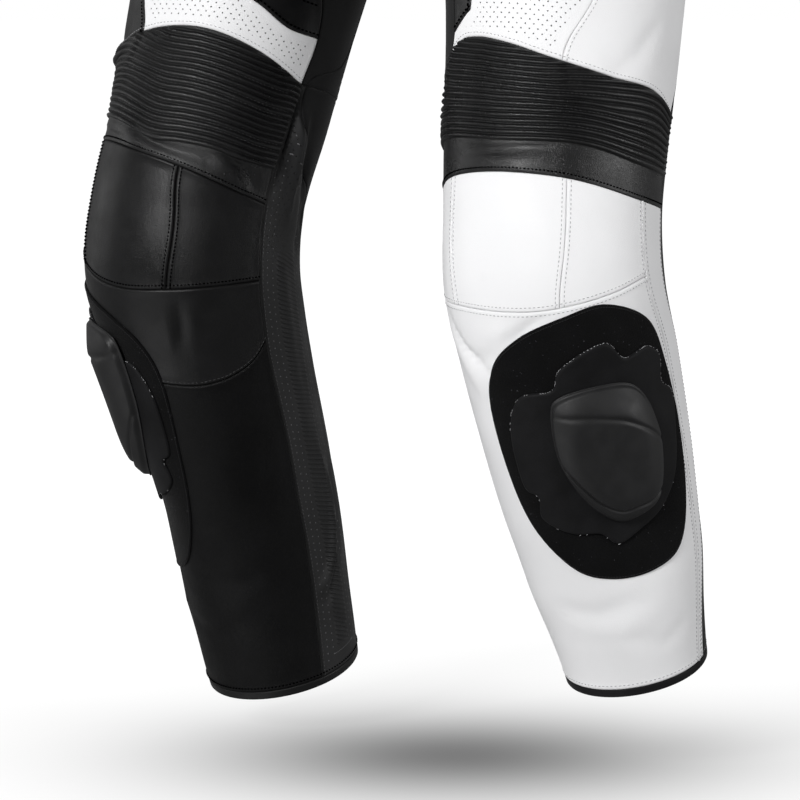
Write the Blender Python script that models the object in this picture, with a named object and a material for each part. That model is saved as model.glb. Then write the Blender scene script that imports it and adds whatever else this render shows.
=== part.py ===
"""One-piece leather motorcycle race suit, filled out as it is worn.

Every cloth piece is a thin wall on one of four surfaces: leg, trunk, upper body and sleeve. Each surface is a
grid whose lines follow the seams, so two pieces that are sewn together share their seam points and stand
SEAM_GAP apart. Heights are given above the wearer's floor, x is the wearer's left and -y is the front.
The whole suit is placed with its origin at the middle of the neck opening, on the shoulder line.
"""

import math

import bmesh
import bpy
import numpy as np

# ---------------------------------------------------------------- driving sizes, metres and degrees

NECK_CENTRE = (0.0, -0.012, 1.500)

LEATHER = 0.0020
STRETCH = 0.0016
SEAM_GAP = 0.0003
LAYER_GAP = 0.0003

RIB_COUNT = 17
RIB_HEIGHT = 0.0024

HEM_HEIGHT = {"left": 0.155, "right": 0.121}
HEM_BINDING = 0.007
LEG_TOP = 0.745
KNEE_HEIGHT = 0.430
ROUND_LIMIT = 281

PATCH_THICKNESS = 0.0014
BACKING_THICKNESS = 0.0026
PUCK_RIM = 0.0050
PUCK_CROWN = 0.0150

ZIP_HALF_WIDTH = 0.0070
ZIP_COIL = 0.0012
COLLAR_HEIGHT = 0.040
COLLAR_LEAN = 0.006
CUFF_LENGTH = 0.045

# Leg sections. Centre of the section ahead of the ankle and aside of the middle plane, its pitch (its front
# edge dips by this angle), and its half sizes to the front, back, outside and inside.
LEG_STATIONS = (
    # height, forward, aside, pitch, front, back, outer, inner
    (0.090, -0.055, 0.194, 20, 0.060, 0.064, 0.063, 0.063),
    (0.140, -0.040, 0.194, 20, 0.064, 0.069, 0.067, 0.067),
    (0.180, -0.028, 0.194, 20, 0.067, 0.072, 0.069, 0.069),
    (0.245, -0.007, 0.195, 20, 0.074, 0.080, 0.075, 0.074),
    (0.312, 0.020, 0.196, 20, 0.082, 0.088, 0.080, 0.079),
    (0.378, 0.044, 0.197, 18, 0.087, 0.091, 0.083, 0.083),
    (0.430, 0.061, 0.196, 12, 0.089, 0.091, 0.086, 0.086),
    (0.480, 0.074, 0.193, 3, 0.091, 0.090, 0.088, 0.088),
    (0.540, 0.072, 0.188, -6, 0.090, 0.091, 0.087, 0.086),
    (0.610, 0.056, 0.180, -11, 0.094, 0.095, 0.090, 0.089),
    (0.700, 0.035, 0.171, -12, 0.099, 0.101, 0.095, 0.094),
    (0.760, 0.022, 0.163, -12, 0.103, 0.106, 0.100, 0.099),
)

# The shin is flatter under the slider: (height, depth), deepest in the direction SHIN_FLAT_AT.
SHIN_FLAT = ((0.200, 0.0), (0.250, 0.007), (0.300, 0.015), (0.360, 0.015), (0.420, 0.008), (0.460, -0.002),
             (0.500, -0.005), (0.560, -0.003), (0.610, 0.0))
SHIN_FLAT_AT = 50
SHIN_FLAT_WIDTH = 46
# How a hem hangs: the share of its girth, and how far it is drawn away in the direction HEM_HANG_AT.
HEM_HANG = {"left": (0.895, 0.0030), "right": (1.0, 0.0)}
HEM_HANG_FROM = 0.250
HEM_HANG_HEIGHT = 0.095
HEM_HANG_AT = 128

# Seams that run down the leg: (height, angle). Angle 0 is the front, 90 the outside, -90 the inside.
MEDIAL_SEAM = ((0.09, -67), (0.20, -74), (0.27, -77), (0.34, -80), (0.43, -78), (0.54, -79))
CUP_INNER_SEAM = ((0.09, -26), (0.30, -26), (0.477, -25), (0.515, -28), (0.56, -26))
CUP_OUTER_SEAM = ((0.09, 42), (0.40, 40), (0.477, 39), (0.515, 43), (0.562, 44))
SIDE_SEAM = ((0.09, 94), (0.17, 98), (0.228, 104), (0.30, 110), (0.38, 108), (0.426, 104), (0.494, 91),
             (0.552, 90))
BACK_SEAM = ((0.09, 104), (0.175, 107), (0.239, 117), (0.32, 131), (0.40, 131), (0.506, 113), (0.552, 115))
CALF_SEAM = {
    "left": ((0.09, 237), (0.30, 239), (0.53, 240), (0.556, 243), (0.580, 262), (0.608, 284), (0.636, 296)),
    "right": ((0.09, 237), (0.30, 239), (0.53, 239), (0.556, 241), (0.580, 258), (0.608, 270),
              (0.625, 273), (0.640, 273)),
}

# Above the knee the two legs are turned a little differently on the wearer.
THIGH_SEAMS = {
    "left": {
        "medial": ((0.585, -65), (0.631, -40), (0.657, -31), (0.700, -29), (0.760, -50)),
        "cup_inner": ((0.610, -20), (0.657, -18), (0.696, -13), (0.760, -12)),
        "cup_outer": ((0.610, 42), (0.661, 39), (0.703, 51), (0.760, 58)),
    },
    "right": {
        "medial": ((0.600, -80), (0.641, -83), (0.679, -86), (0.711, -82), (0.760, -56)),
        "cup_inner": ((0.610, -32), (0.650, -42), (0.699, -46), (0.760, -30)),
        "cup_outer": ((0.620, 32), (0.673, 14), (0.692, 18), (0.760, 28)),
    },
}
THIGH_SIDE = ((0.62, 88), (0.70, 92), (0.76, 95))
THIGH_BACK = ((0.600, 113), (0.635, 117), (0.660, 126), (0.700, 134), (0.760, 134))
THIGH_CALF = {
    "left": ((0.645, 294), (0.672, 256), (0.690, 244), (0.760, 232)),
    "right": ((0.646, 271), (0.664, 245), (0.672, 240), (0.760, 232)),
}

# Seams that run round the leg: (angle, height).
GUSSET_SEAM = ((-79, 0.430), (-71, 0.418), (-56, 0.408), (-41, 0.405), (-13, 0.409), (60, 0.415),
               (281, 0.430))
CUP_LOWER_SEAM = {
    "left": ((-79, 0.477), (-24, 0.475), (38, 0.475), (69, 0.484), (89, 0.493), (180, 0.492), (281, 0.477)),
    "right": ((-79, 0.477), (-24, 0.475), (4, 0.476), (20, 0.480), (35, 0.487), (50, 0.495), (89, 0.502),
              (180, 0.494), (281, 0.477)),
}
CUP_UPPER_SEAM = {
    "left": ((-79, 0.546), (-55, 0.553), (-38, 0.559), (0, 0.565), (43, 0.564), (89, 0.554), (180, 0.548),
             (281, 0.546)),
    "right": ((-79, 0.539), (-56, 0.549), (-26, 0.563), (0, 0.572), (40, 0.581), (89, 0.572), (180, 0.552),
              (281, 0.539)),
}
RIB_LOWER_LINE = {
    "left": ((-79, 0.580), (-43, 0.589), (8, 0.588), (55, 0.589), (79, 0.583), (180, 0.578), (281, 0.580)),
    "right": ((-79, 0.580), (-43, 0.589), (8, 0.593), (45, 0.601), (89, 0.594), (180, 0.580), (281, 0.580)),
}
RIB_UPPER_SEAM = {
    "left": ((-79, 0.632), (-55, 0.641), (-40, 0.648), (-30, 0.657), (-20, 0.665), (-8, 0.6665),
             (8, 0.663), (32, 0.654), (63, 0.646), (98, 0.641), (112, 0.631), (180, 0.632), (281, 0.632)),
    "right": ((-82, 0.640), (-55, 0.659), (-24, 0.672), (0, 0.671), (20, 0.665), (46, 0.652), (60, 0.645),
              (98, 0.640), (180, 0.637), (232, 0.640), (281, 0.640)),
}
THIGH_STEP = {
    "left": ((-79, 0.672), (-28, 0.672), (-14, 0.688), (20, 0.697), (110, 0.700), (281, 0.672)),
    "right": ((-86, 0.679), (-67, 0.682), (-46, 0.699), (0, 0.703), (110, 0.700), (281, 0.679)),
}

# Cells between neighbouring seams, and rows between neighbouring rings.
COLUMN_CELLS = (4, 4, 3, 2, 7, 4)
ROW_CELLS = {"hem": 1, "shin": 6, "gusset": 2, "cup": 2, "strip": 1, "ribs": 3, "band": 1, "thigh": 2, "root": 4}
# Place of the accordion's lower seam among the rings of seams_round.
STRIP_RING = 4

# Trunk sections.
TRUNK_STATIONS = (
    # height, centre_y, half_width, front, back
    (0.800, 0.012, 0.222, 0.112, 0.132),
    (0.900, 0.012, 0.236, 0.122, 0.136),
    (1.000, 0.010, 0.216, 0.120, 0.126),
    (1.080, 0.006, 0.202, 0.118, 0.120),
)
WAIST = 1.080
# Height of the seam that joins the legs to the trunk: (trunk angle, height), 0 at the front middle.
ROOT_LINE = ((0, 0.835), (45, 0.872), (90, 0.930), (135, 0.905), (180, 0.850))
# Lowest line of the crotch piece in the middle plane: (fraction from front to back, y, height).
CROTCH_LINE = ((0.0, -0.100, 0.835), (0.25, -0.052, 0.806), (0.5, 0.010, 0.796), (0.75, 0.082, 0.808),
               (1.0, 0.144, 0.850))
HIP_ROWS = 4

# Upper body lines in the left half, each (fraction, x, y, height).
FRONT_MIDDLE = ((0.0, 0.0, -0.112, 1.080), (0.35, 0.0, -0.138, 1.220), (0.7, 0.0, -0.136, 1.360),
                (1.0, 0.0, -0.086, 1.462))
BACK_MIDDLE = ((0.0, 0.0, 0.126, 1.080), (0.35, 0.0, 0.128, 1.220), (0.7, 0.0, 0.124, 1.380),
               (1.0, 0.0, 0.056, 1.516))
SIDE_LINE = ((0.0, 0.202, 0.006, 1.080), (0.5, 0.216, 0.004, 1.210), (1.0, 0.224, 0.004, 1.330))
ARMHOLE_FRONT = ((0.0, 0.224, 0.004, 1.330), (0.3, 0.206, -0.062, 1.358), (0.62, 0.200, -0.072, 1.420),
                 (0.85, 0.214, -0.046, 1.468), (1.0, 0.228, 0.004, 1.482))
ARMHOLE_BACK = ((0.0, 0.224, 0.004, 1.330), (0.3, 0.210, 0.068, 1.358), (0.62, 0.206, 0.078, 1.420),
                (0.85, 0.216, 0.052, 1.468), (1.0, 0.228, 0.004, 1.482))
NECK_FRONT = ((0.0, 0.0, -0.086, 1.462), (0.5, 0.056, -0.056, 1.482), (1.0, 0.074, 0.004, 1.512))
NECK_BACK = ((0.0, 0.0, 0.056, 1.516), (0.5, 0.050, 0.044, 1.516), (1.0, 0.074, 0.004, 1.512))
SHOULDER_LINE = ((0.0, 0.074, 0.004, 1.512), (0.5, 0.150, 0.004, 1.505), (1.0, 0.228, 0.004, 1.482))
SHOULDER_ROUND = 0.016
SIDE_ROWS = 3
ARMHOLE_ROWS = 6
NECK_CELLS = 5

# Sleeve sections: centre and half size, from just below the shoulder to the wrist.
SLEEVE_STATIONS = (
    # distance, x, y, height, radius
    (0.00, 0.300, 0.002, 1.330, 0.072),
    (0.12, 0.346, 0.002, 1.220, 0.066),
    (0.23, 0.388, -0.004, 1.120, 0.060),
    (0.35, 0.424, -0.050, 1.015, 0.054),
    (0.46, 0.450, -0.105, 0.925, 0.044),
)
SLEEVE_HEAD_ROWS = 3
SLEEVE_ROWS = 6

# Outlines on the left shin, each point (angle on the leg, height), joined by a smooth closed curve.
PATCH_OUTLINE = ((61, 0.476), (85, 0.460), (96, 0.425), (103, 0.370), (101, 0.310), (88, 0.275),
                 (64, 0.265), (35, 0.267), (12, 0.280), (-6, 0.315), (-13, 0.360), (-13, 0.410),
                 (-4, 0.438), (14, 0.456), (38, 0.469))
BACKING_OUTLINE = ((33, 0.436), (56, 0.450), (67, 0.436), (81, 0.440), (90, 0.428), (90, 0.407),
                   (97, 0.395), (98, 0.375), (93, 0.335), (80, 0.312), (60, 0.300), (44, 0.295),
                   (34, 0.306), (17, 0.311), (3, 0.325), (4, 0.342), (-3, 0.352), (-2, 0.392), (8, 0.417),
                   (26, 0.421))
PUCK_OUTLINE = ((29, 0.416), (47, 0.420), (65, 0.416), (75, 0.397), (79, 0.370), (77, 0.335), (70, 0.316),
                (50, 0.311), (36, 0.323), (26, 0.345), (21, 0.372), (23, 0.405))
# A layer's corner this near a line of the leg's net, as a share of a cell, lies on it.
SNAP = 0.02
# How each layer sits on each leg.
LAYER_FIT = {
    # turn, stretch round the leg, lift, stretch above the middle, stretch below it
    "left": {
        "patch": (1, 1.045, 0.0, 1.0, 1.07),
        "backing": (1, 1.05, 0.0, 1.0, 1.09),
        "puck": (3, 1.13, 0.0, 1.0, 1.09),
    },
    "right": {
        "patch": (0, 1.02, 0.0, 1.0, 1.30),
        "backing": (-2, 1.06, 0.006, 1.0, 1.08),
        "puck": (-8, 1.20, 0.020, 1.20, 1.24),
    },
}

# Zip slider and its pull tab.
SLIDER_SIZE = (0.0100, 0.0034, 0.0150)
SLIDER_DROP = 0.006
PIN_RADIUS = 0.0008
PIN_STANDOFF = 0.0034
PIN_HALF_SPAN = 0.0034
POST_SIZE = (0.0012, 0.0030)
TAB_SIZE = (0.0060, 0.0014, 0.0280)
KNUCKLE_RADIUS = 0.0018
KNUCKLE_BORE = 0.0011
KNUCKLE_LENGTH = 0.0062
ROD_SIDES = 16

BLACK = (0.018, 0.018, 0.020)
WHITE = (0.82, 0.82, 0.83)

SUIT = "motorcycle_race_suit"


# ---------------------------------------------------------------- curves and small helpers

def smooth(xs, ys, x):
    """Smooth curve through the points (xs, ys), read at x; flat outside them."""
    xs = np.asarray(xs, float)
    ys = np.asarray(ys, float)
    slopes = np.gradient(ys, xs)
    x = np.clip(x, xs[0], xs[-1])
    i = np.clip(np.searchsorted(xs, x, side="right") - 1, 0, len(xs) - 2)
    width = xs[i + 1] - xs[i]
    t = (x - xs[i]) / width
    value = ys[i] * (1 + 2 * t) * (1 - t) ** 2 + ys[i + 1] * t * t * (3 - 2 * t)
    return value + width * t * (1 - t) * (slopes[i] * (1 - t) - slopes[i + 1] * t)


def line(rows, x):
    """A two-column table read at x."""
    return smooth([row[0] for row in rows], [row[1] for row in rows], x)


def column(table, index, x):
    """One named column of a table of stations, read at x."""
    return smooth([row[0] for row in table], [row[index] for row in table], x)


def path(table, fraction):
    """Point on a space curve given as rows of (fraction, x, y, height)."""
    return np.stack([column(table, k, fraction) for k in (1, 2, 3)], axis=-1)


def unit(v):
    return v / np.maximum(np.linalg.norm(v, axis=-1, keepdims=True), 1e-12)


def hermite(start, end, start_tangent, end_tangent, t):
    """Space curve that leaves start and reaches end along the given tangents."""
    return (
        start * (1 + 2 * t) * (1 - t) ** 2
        + end * t * t * (3 - 2 * t)
        + start_tangent * t * (1 - t) ** 2
        - end_tangent * t * t * (1 - t)
    )


def ease(x):
    """0 to 1 with a soft start and end."""
    x = np.clip(x, 0, 1)
    return x * x * (3 - 2 * x)


def steps(counts):
    """Positions 0, 1/n .. for each count, as (interval, fraction) pairs, with the last end."""
    pairs = [(k, i / n) for k, n in enumerate(counts) for i in range(n)]
    return pairs + [(len(counts) - 1, 1.0)]


# ---------------------------------------------------------------- the leg surface

def leg_point(angle, height, side):
    """Point of a leg's surface, in the left leg's place; a shin worn shorter tapers over its own length."""
    a = np.radians(angle)
    forward, aside, pitch = (column(LEG_STATIONS, k, height) for k in (1, 2, 3))
    taper = (KNEE_HEIGHT - HEM_HEIGHT["right"]) / (KNEE_HEIGHT - HEM_HEIGHT[side])
    size_at = KNEE_HEIGHT + (height - KNEE_HEIGHT) * np.where(height < KNEE_HEIGHT, taper, 1.0)
    front, back, outer, inner = (column(LEG_STATIONS, k, size_at) for k in (4, 5, 6, 7))
    off_flat = (angle - SHIN_FLAT_AT + 180) % 360 - 180
    dent = line(SHIN_FLAT, height) * np.exp(-((off_flat / SHIN_FLAT_WIDTH) ** 2))
    girth, drawn = HEM_HANG[side]
    hang = ease((HEM_HANG_FROM - height) / HEM_HANG_HEIGHT)
    share = 1 + (girth - 1) * hang
    across = (np.where(np.sin(a) > 0, outer, inner) * share - dent) * np.sin(a)
    along = (np.where(np.cos(a) > 0, front, back) * share - dent) * np.cos(a)
    across = across + drawn * hang * math.sin(math.radians(HEM_HANG_AT))
    along = along + drawn * hang * math.cos(math.radians(HEM_HANG_AT))
    tilt = np.radians(pitch)
    return np.stack([aside + across, -forward - along * np.cos(tilt), height - along * np.sin(tilt)], axis=-1)


def seams_down(side):
    """The six seams that run down a leg, as (height, angle) tables in order round it, closed by the first."""
    upper = THIGH_SEAMS[side]
    medial = MEDIAL_SEAM + upper["medial"]
    seams = [
        medial,
        CUP_INNER_SEAM + upper["cup_inner"],
        CUP_OUTER_SEAM + upper["cup_outer"],
        SIDE_SEAM + THIGH_SIDE,
        BACK_SEAM + THIGH_BACK,
        CALF_SEAM[side] + THIGH_CALF[side],
    ]
    return seams + [tuple((height, angle + 360) for height, angle in medial)]


def seams_round(side):
    """The rings of a leg from the hem up, as functions of the angle."""
    hem = HEM_HEIGHT[side]
    by_side = (CUP_LOWER_SEAM, CUP_UPPER_SEAM, RIB_LOWER_LINE, RIB_UPPER_SEAM, THIGH_STEP)
    tables = [GUSSET_SEAM] + [table[side] for table in by_side]
    rings = [lambda angle: hem + 0 * angle, lambda angle: hem + HEM_BINDING + 0 * angle]
    rings += [lambda angle, rows=rows: line(rows, angle) for rows in tables]
    return rings + [lambda angle: LEG_TOP + 0 * angle]


def crossing(side, row, col):
    """Angle and height where a ring of the leg crosses a line down it, each as (interval, fraction)."""
    rings = seams_round(side)
    downs = seams_down(side)
    height = np.full(np.shape(row[1]), 0.4)
    for _ in range(12):
        angle = line(downs[col[0]], height) * (1 - col[1]) + line(downs[col[0] + 1], height) * col[1]
        wrapped = np.where(angle > ROUND_LIMIT, angle - 360, angle)
        height = rings[row[0]](wrapped) * (1 - row[1]) + rings[row[0] + 1](wrapped) * row[1]
    return float(angle), float(height)


def leg_lines(side, row_counts):
    """Angles and heights of the whole net of a leg, up to LEG_TOP."""
    cells = [[crossing(side, row, col) for col in steps(COLUMN_CELLS)] for row in steps(row_counts)]
    net = np.array(cells)
    net[:, -1, 1] = net[:, 0, 1]
    net[:, -1, 0] = net[:, 0, 0] + 360
    return net[..., 0], net[..., 1]


def trunk_point(angle, height):
    """Point of the trunk's surface below the waist; 0 is the front middle, 90 the left side, 180 the back."""
    a = np.radians(angle)
    centre, width, front, back = (column(TRUNK_STATIONS, k, height) for k in (1, 2, 3, 4))
    depth = np.where(np.cos(a) > 0, front, back)
    return np.stack([width * np.sin(a), centre - depth * np.cos(a), height + 0 * a], axis=-1)


def trunk_angles(top_angles):
    """Trunk angle that each line of the leg's outer arc runs on into."""
    first, side_at, last = top_angles[0], top_angles[sum(COLUMN_CELLS[:3])], top_angles[sum(COLUMN_CELLS[:5])]
    arc = top_angles[: sum(COLUMN_CELLS[:5]) + 1]
    return np.interp(arc, (first, side_at, last), (0.0, 90.0, 180.0))


def root_points(angles, top_angles):
    """Where each line of the leg ends: on the trunk's root line, or on the crotch line inside."""
    outer = trunk_point(angles, line(ROOT_LINE, angles))
    inner_top = top_angles[sum(COLUMN_CELLS[:5]):]
    share = (top_angles[-1] - inner_top) / (top_angles[-1] - inner_top[0])
    y = column(CROTCH_LINE, 1, share)
    height = column(CROTCH_LINE, 2, share)
    inner = np.stack([0 * y, y, height], axis=-1)
    inner[0] = outer[-1]
    inner[-1] = outer[0]
    return np.concatenate([outer, inner[1:]])


def leg_net(side):
    """Points of the left-hand shape of a leg, hem to root, with the row where each ring lies."""
    counts = [ROW_CELLS[name] for name in ("hem", "shin", "gusset", "cup", "strip", "ribs", "band", "thigh")]
    angle, height = leg_lines(side, counts)
    lower = leg_point(angle, height, side)
    arc = trunk_angles(angle[-1])
    root = root_points(arc, angle[-1])
    start = lower[-1]
    rise = leg_point(angle[-1], height[-1] + 0.01, side) - start
    reach = np.linalg.norm(root - start, axis=-1, keepdims=True)
    up = np.zeros_like(root)
    up[:, 2] = 1.0
    inner = np.arange(len(root)) > sum(COLUMN_CELLS[:5])
    inner[-1] = False
    up[inner] = unit(np.array([-1.0, 0.0, 0.25]))
    upper = [
        hermite(start, root, unit(rise) * reach, up * reach * 0.9, k / ROW_CELLS["root"])
        for k in range(1, ROW_CELLS["root"] + 1)
    ]
    bounds = np.concatenate([[0], np.cumsum(counts), [sum(counts) + ROW_CELLS["root"]]])
    names = ("hem", "binding", "gusset", "cup", "strip", "ribs", "band", "step", "top", "root")
    rings = dict(zip(names, (int(b) for b in bounds)))
    points = np.concatenate([lower, upper])
    return {"points": points, "angle": angle, "height": height, "arc": arc, "rings": rings}


COLUMNS = dict(zip(("medial", "cup_inner", "cup_outer", "side", "back", "calf", "end"),
                   (int(c) for c in np.concatenate([[0], np.cumsum(COLUMN_CELLS)]))))


# ---------------------------------------------------------------- cloth pieces

class Piece:
    """A piece of cloth before it has thickness: points, quads and how far its outside is raised."""

    def __init__(self, name, points, quads, thickness, colour, relief=None, mirrored=False):
        self.name = name
        self.points = np.asarray(points, float)
        self.quads = quads
        self.thickness = thickness
        self.colour = colour
        self.relief = np.zeros(len(self.points)) if relief is None else relief
        if mirrored:
            self.points = self.points * (-1, 1, 1)
            self.quads = [(a, d, c, b) for a, b, c, d in quads]


def grid_piece(name, net, thickness, colour, mirrored=False, relief=None):
    """Piece over a whole rectangular net of points, its rows running up."""
    rows, cols = net.shape[:2]
    quads = [
        (r * cols + c, r * cols + c + 1, (r + 1) * cols + c + 1, (r + 1) * cols + c)
        for r in range(rows - 1)
        for c in range(cols - 1)
    ]
    raised = None if relief is None else relief.reshape(-1)
    return Piece(name, net.reshape(-1, 3), quads, thickness, colour, raised, mirrored)


def block_piece(name, net, blocks, thickness, colour, mirrored=False):
    """Piece over some blocks of a net, each block (first row, last row, first column, last column)."""
    used = {}
    quads = []
    for bottom, top, left, right in blocks:
        for r in range(bottom, top):
            for c in range(left, right):
                corners = ((r, c), (r, c + 1), (r + 1, c + 1), (r + 1, c))
                quads.append(tuple(used.setdefault(corner, len(used)) for corner in corners))
    points = [net[corner] for corner in used]
    return Piece(name, points, quads, thickness, colour, None, mirrored)


def key(point):
    return tuple(int(round(value * 20000)) for value in point)


def shared_normals(pieces):
    """Outward direction at every point, averaged over all pieces that meet there."""
    sums = {}
    for piece in pieces:
        for quad in piece.quads:
            a, b, c, d = (piece.points[k] for k in quad)
            normal = np.cross(c - a, d - b)
            for corner in quad:
                spot = key(piece.points[corner])
                sums[spot] = sums.get(spot, 0) + normal
    return {spot: value / np.linalg.norm(value) for spot, value in sums.items()}


def inset(piece, normals, amount):
    """Points with the border drawn in by amount, along the cloth."""
    edges = {}
    for quad in piece.quads:
        for a, b in zip(quad, quad[1:] + quad[:1]):
            edges[(a, b)] = True
    border = [(a, b) for a, b in edges if (b, a) not in edges]
    pulls = {}
    for a, b in border:
        direction = piece.points[b] - piece.points[a]
        for corner in (a, b):
            pulls.setdefault(corner, []).append(unit(np.cross(normals[corner], direction)))
    points = piece.points.copy()
    for corner, inward in pulls.items():
        total = sum(inward)
        if len(inward) == 2:
            total = total / (1 + float(np.dot(inward[0], inward[1])))
        points[corner] = points[corner] + total * amount
    return points, border


def wall_object(piece, lookup, collection, base=0.0):
    """Closed wall of a piece: a plain inside and an outside that holds the raised form."""
    normals = np.array([lookup[key(point)] for point in piece.points])
    points, border = inset(piece, normals, SEAM_GAP / 2)
    inner = points + normals * base
    outer = inner + normals * (piece.thickness + piece.relief)[:, None]
    mesh = bmesh.new()
    low = [mesh.verts.new(p) for p in inner]
    high = [mesh.verts.new(p) for p in outer]
    for a, b, c, d in piece.quads:
        for corners in ((a, b, c), (a, c, d)):
            mesh.faces.new([high[k] for k in corners])
            mesh.faces.new([low[k] for k in reversed(corners)])
    for a, b in border:
        if key(piece.points[a]) < key(piece.points[b]):
            mesh.faces.new((low[a], low[b], high[a]))
            mesh.faces.new((low[b], high[b], high[a]))
        else:
            mesh.faces.new((low[a], low[b], high[b]))
            mesh.faces.new((low[a], high[b], high[a]))
    return add_object(piece.name, mesh, piece.colour, collection)


def add_object(name, mesh, colour, collection, roughness=0.5, metallic=0.0):
    """Named object from a bmesh, placed so that the neck's middle is the origin."""
    data = bpy.data.meshes.new(name)
    mesh.to_mesh(data)
    mesh.free()
    obj = bpy.data.objects.new(name, data)
    obj.location = [-value for value in NECK_CENTRE]
    material = bpy.data.materials.new(name)
    material.use_nodes = True
    shader = material.node_tree.nodes["Principled BSDF"]
    shader.inputs["Base Color"].default_value = (*colour, 1.0)
    shader.inputs["Roughness"].default_value = roughness
    shader.inputs["Metallic"].default_value = metallic
    data.materials.append(material)
    collection.objects.link(obj)
    return obj


# ---------------------------------------------------------------- leg pieces

def accordion_net(leg, side):
    """Fine net of the pleated panel: smooth rings between its straight side edges, two rows to a rib."""
    rings = leg["rings"]
    left, right = COLUMNS["medial"], COLUMNS["back"]
    fine_counts = [ROW_CELLS["strip"], 2 * RIB_COUNT]
    rows = steps(fine_counts)
    cols = steps(COLUMN_CELLS)[left : right + 1]
    net = np.array([
        [leg_point(*crossing(side, (interval + STRIP_RING, share), col), side) for col in cols]
        for interval, share in rows
    ])
    coarse = leg["points"][rings["strip"] : rings["band"] + 1]
    at = [interval + share for interval, share in rows]
    known = [interval + share for interval, share in steps([ROW_CELLS["strip"], ROW_CELLS["ribs"]])]
    for edge, col in ((0, left), (-1, right)):
        for axis in range(3):
            net[:, edge, axis] = np.interp(at, known, coarse[:, col, axis])
    relief = np.zeros(net.shape[:2])
    first_crest = ROW_CELLS["strip"] + 1
    relief[first_crest::2, 1:-1] = RIB_HEIGHT
    relief[first_crest::2, (0, -1)] = RIB_HEIGHT / 3
    return net, relief


def leg_pieces(side, leg):
    """All cloth pieces of one leg but the crotch piece."""
    mirrored = side == "right"
    net = leg["points"]
    r = leg["rings"]
    c = COLUMNS
    pale = WHITE if side == "left" else BLACK
    layout = (
        # name, colour, thickness, blocks as ring and seam names
        ("thigh_front", WHITE, LEATHER,
         (("band", "step", "medial", "cup_outer"), ("step", "root", "cup_inner", "cup_outer"))),
        ("thigh_medial", BLACK, LEATHER, (("step", "root", "medial", "cup_inner"),)),
        ("thigh_outer", pale, LEATHER, (("band", "root", "cup_outer", "back"),)),
        ("thigh_back", BLACK, LEATHER, (("band", "root", "back", "calf"),)),
        ("knee_cup_medial", pale, LEATHER, (("cup", "strip", "medial", "cup_inner"),)),
        ("knee_cup_centre", pale, LEATHER, (("cup", "strip", "cup_inner", "cup_outer"),)),
        ("knee_cup_lateral", pale, LEATHER, (("cup", "strip", "cup_outer", "side"),)),
        ("side_strip", pale, LEATHER, (("binding", "strip", "side", "back"),)),
        ("shin_upper", pale, LEATHER, (("gusset", "cup", "medial", "side"),)),
        ("shin_front", pale, LEATHER, (("binding", "gusset", "medial", "side"),)),
        ("calf_back", BLACK, STRETCH, (("binding", "band", "back", "calf"),)),
        ("calf_medial", BLACK, LEATHER, (("binding", "band", "calf", "end"),)),
    )
    pieces = []
    for name, colour, thickness, blocks in layout:
        spans = [(r[low], r[high], c[first], c[last]) for low, high, first, last in blocks]
        pieces.append(block_piece(f"{name}_{side}", net, spans, thickness, colour, mirrored))
    fine, relief = accordion_net(leg, side)
    pieces.append(grid_piece(f"knee_accordion_{side}", fine, LEATHER, BLACK, mirrored, relief))
    pieces.append(ring_piece(f"hem_binding_{side}", net[: r["binding"] + 1, :-1], LEATHER, BLACK, mirrored))
    return pieces


def ring_piece(name, net, thickness, colour, mirrored=False):
    """Piece over a net that closes on itself round a limb."""
    rows, cols = net.shape[:2]
    quads = [
        (r * cols + c, r * cols + (c + 1) % cols, (r + 1) * cols + (c + 1) % cols, (r + 1) * cols + c)
        for r in range(rows - 1)
        for c in range(cols)
    ]
    return Piece(name, net.reshape(-1, 3), quads, thickness, colour, None, mirrored)


def gusset_piece(legs):
    """The one crotch piece, from the inside of one thigh to the other."""
    first = legs["left"]["rings"]["band"]
    left = legs["left"]["points"][first:, COLUMNS["calf"] :]
    right = legs["right"]["points"][first:, COLUMNS["calf"] :] * (-1, 1, 1)
    net = np.concatenate([left, right[::-1][1:]])
    return grid_piece("inner_thigh_gusset", net, STRETCH, BLACK)


# ---------------------------------------------------------------- body pieces

def off_middle(net):
    """Net whose middle-front column stands ZIP_HALF_WIDTH off the middle, on the line to the next column."""
    moved = net.copy()
    share = ZIP_HALF_WIDTH / net[:, 1, 0]
    moved[:, 0] = net[:, 0] + (net[:, 1] - net[:, 0]) * share[:, None]
    return moved


def hip_net(leg):
    """Net of the left-hand half of the trunk between the leg and the waist."""
    arc = leg["arc"]
    low = line(ROOT_LINE, arc)
    rows = [trunk_point(arc, low + (WAIST - low) * k / HIP_ROWS) for k in range(HIP_ROWS + 1)]
    net = np.array(rows)
    net[:, -1, 0] = 0.0
    return net


def framed_net(bottom, top, start, end):
    """Net between four border lines: bottom and top along the columns, start and end along the rows."""
    v = np.linspace(0, 1, len(start))[:, None, None]
    u = np.linspace(0, 1, len(bottom))[None, :, None]
    ruled = bottom[None] * (1 - v) + top[None] * v
    start_bow = start[:, None] - (start[0] * (1 - v) + start[-1] * v)
    end_bow = end[:, None] - (end[0] * (1 - v) + end[-1] * v)
    bottom_bow = bottom[None] - (bottom[0] * (1 - u) + bottom[-1] * u)
    return ruled + start_bow * (1 - u**2) + end_bow * u**4 + bottom_bow * (v - v**4)


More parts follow.
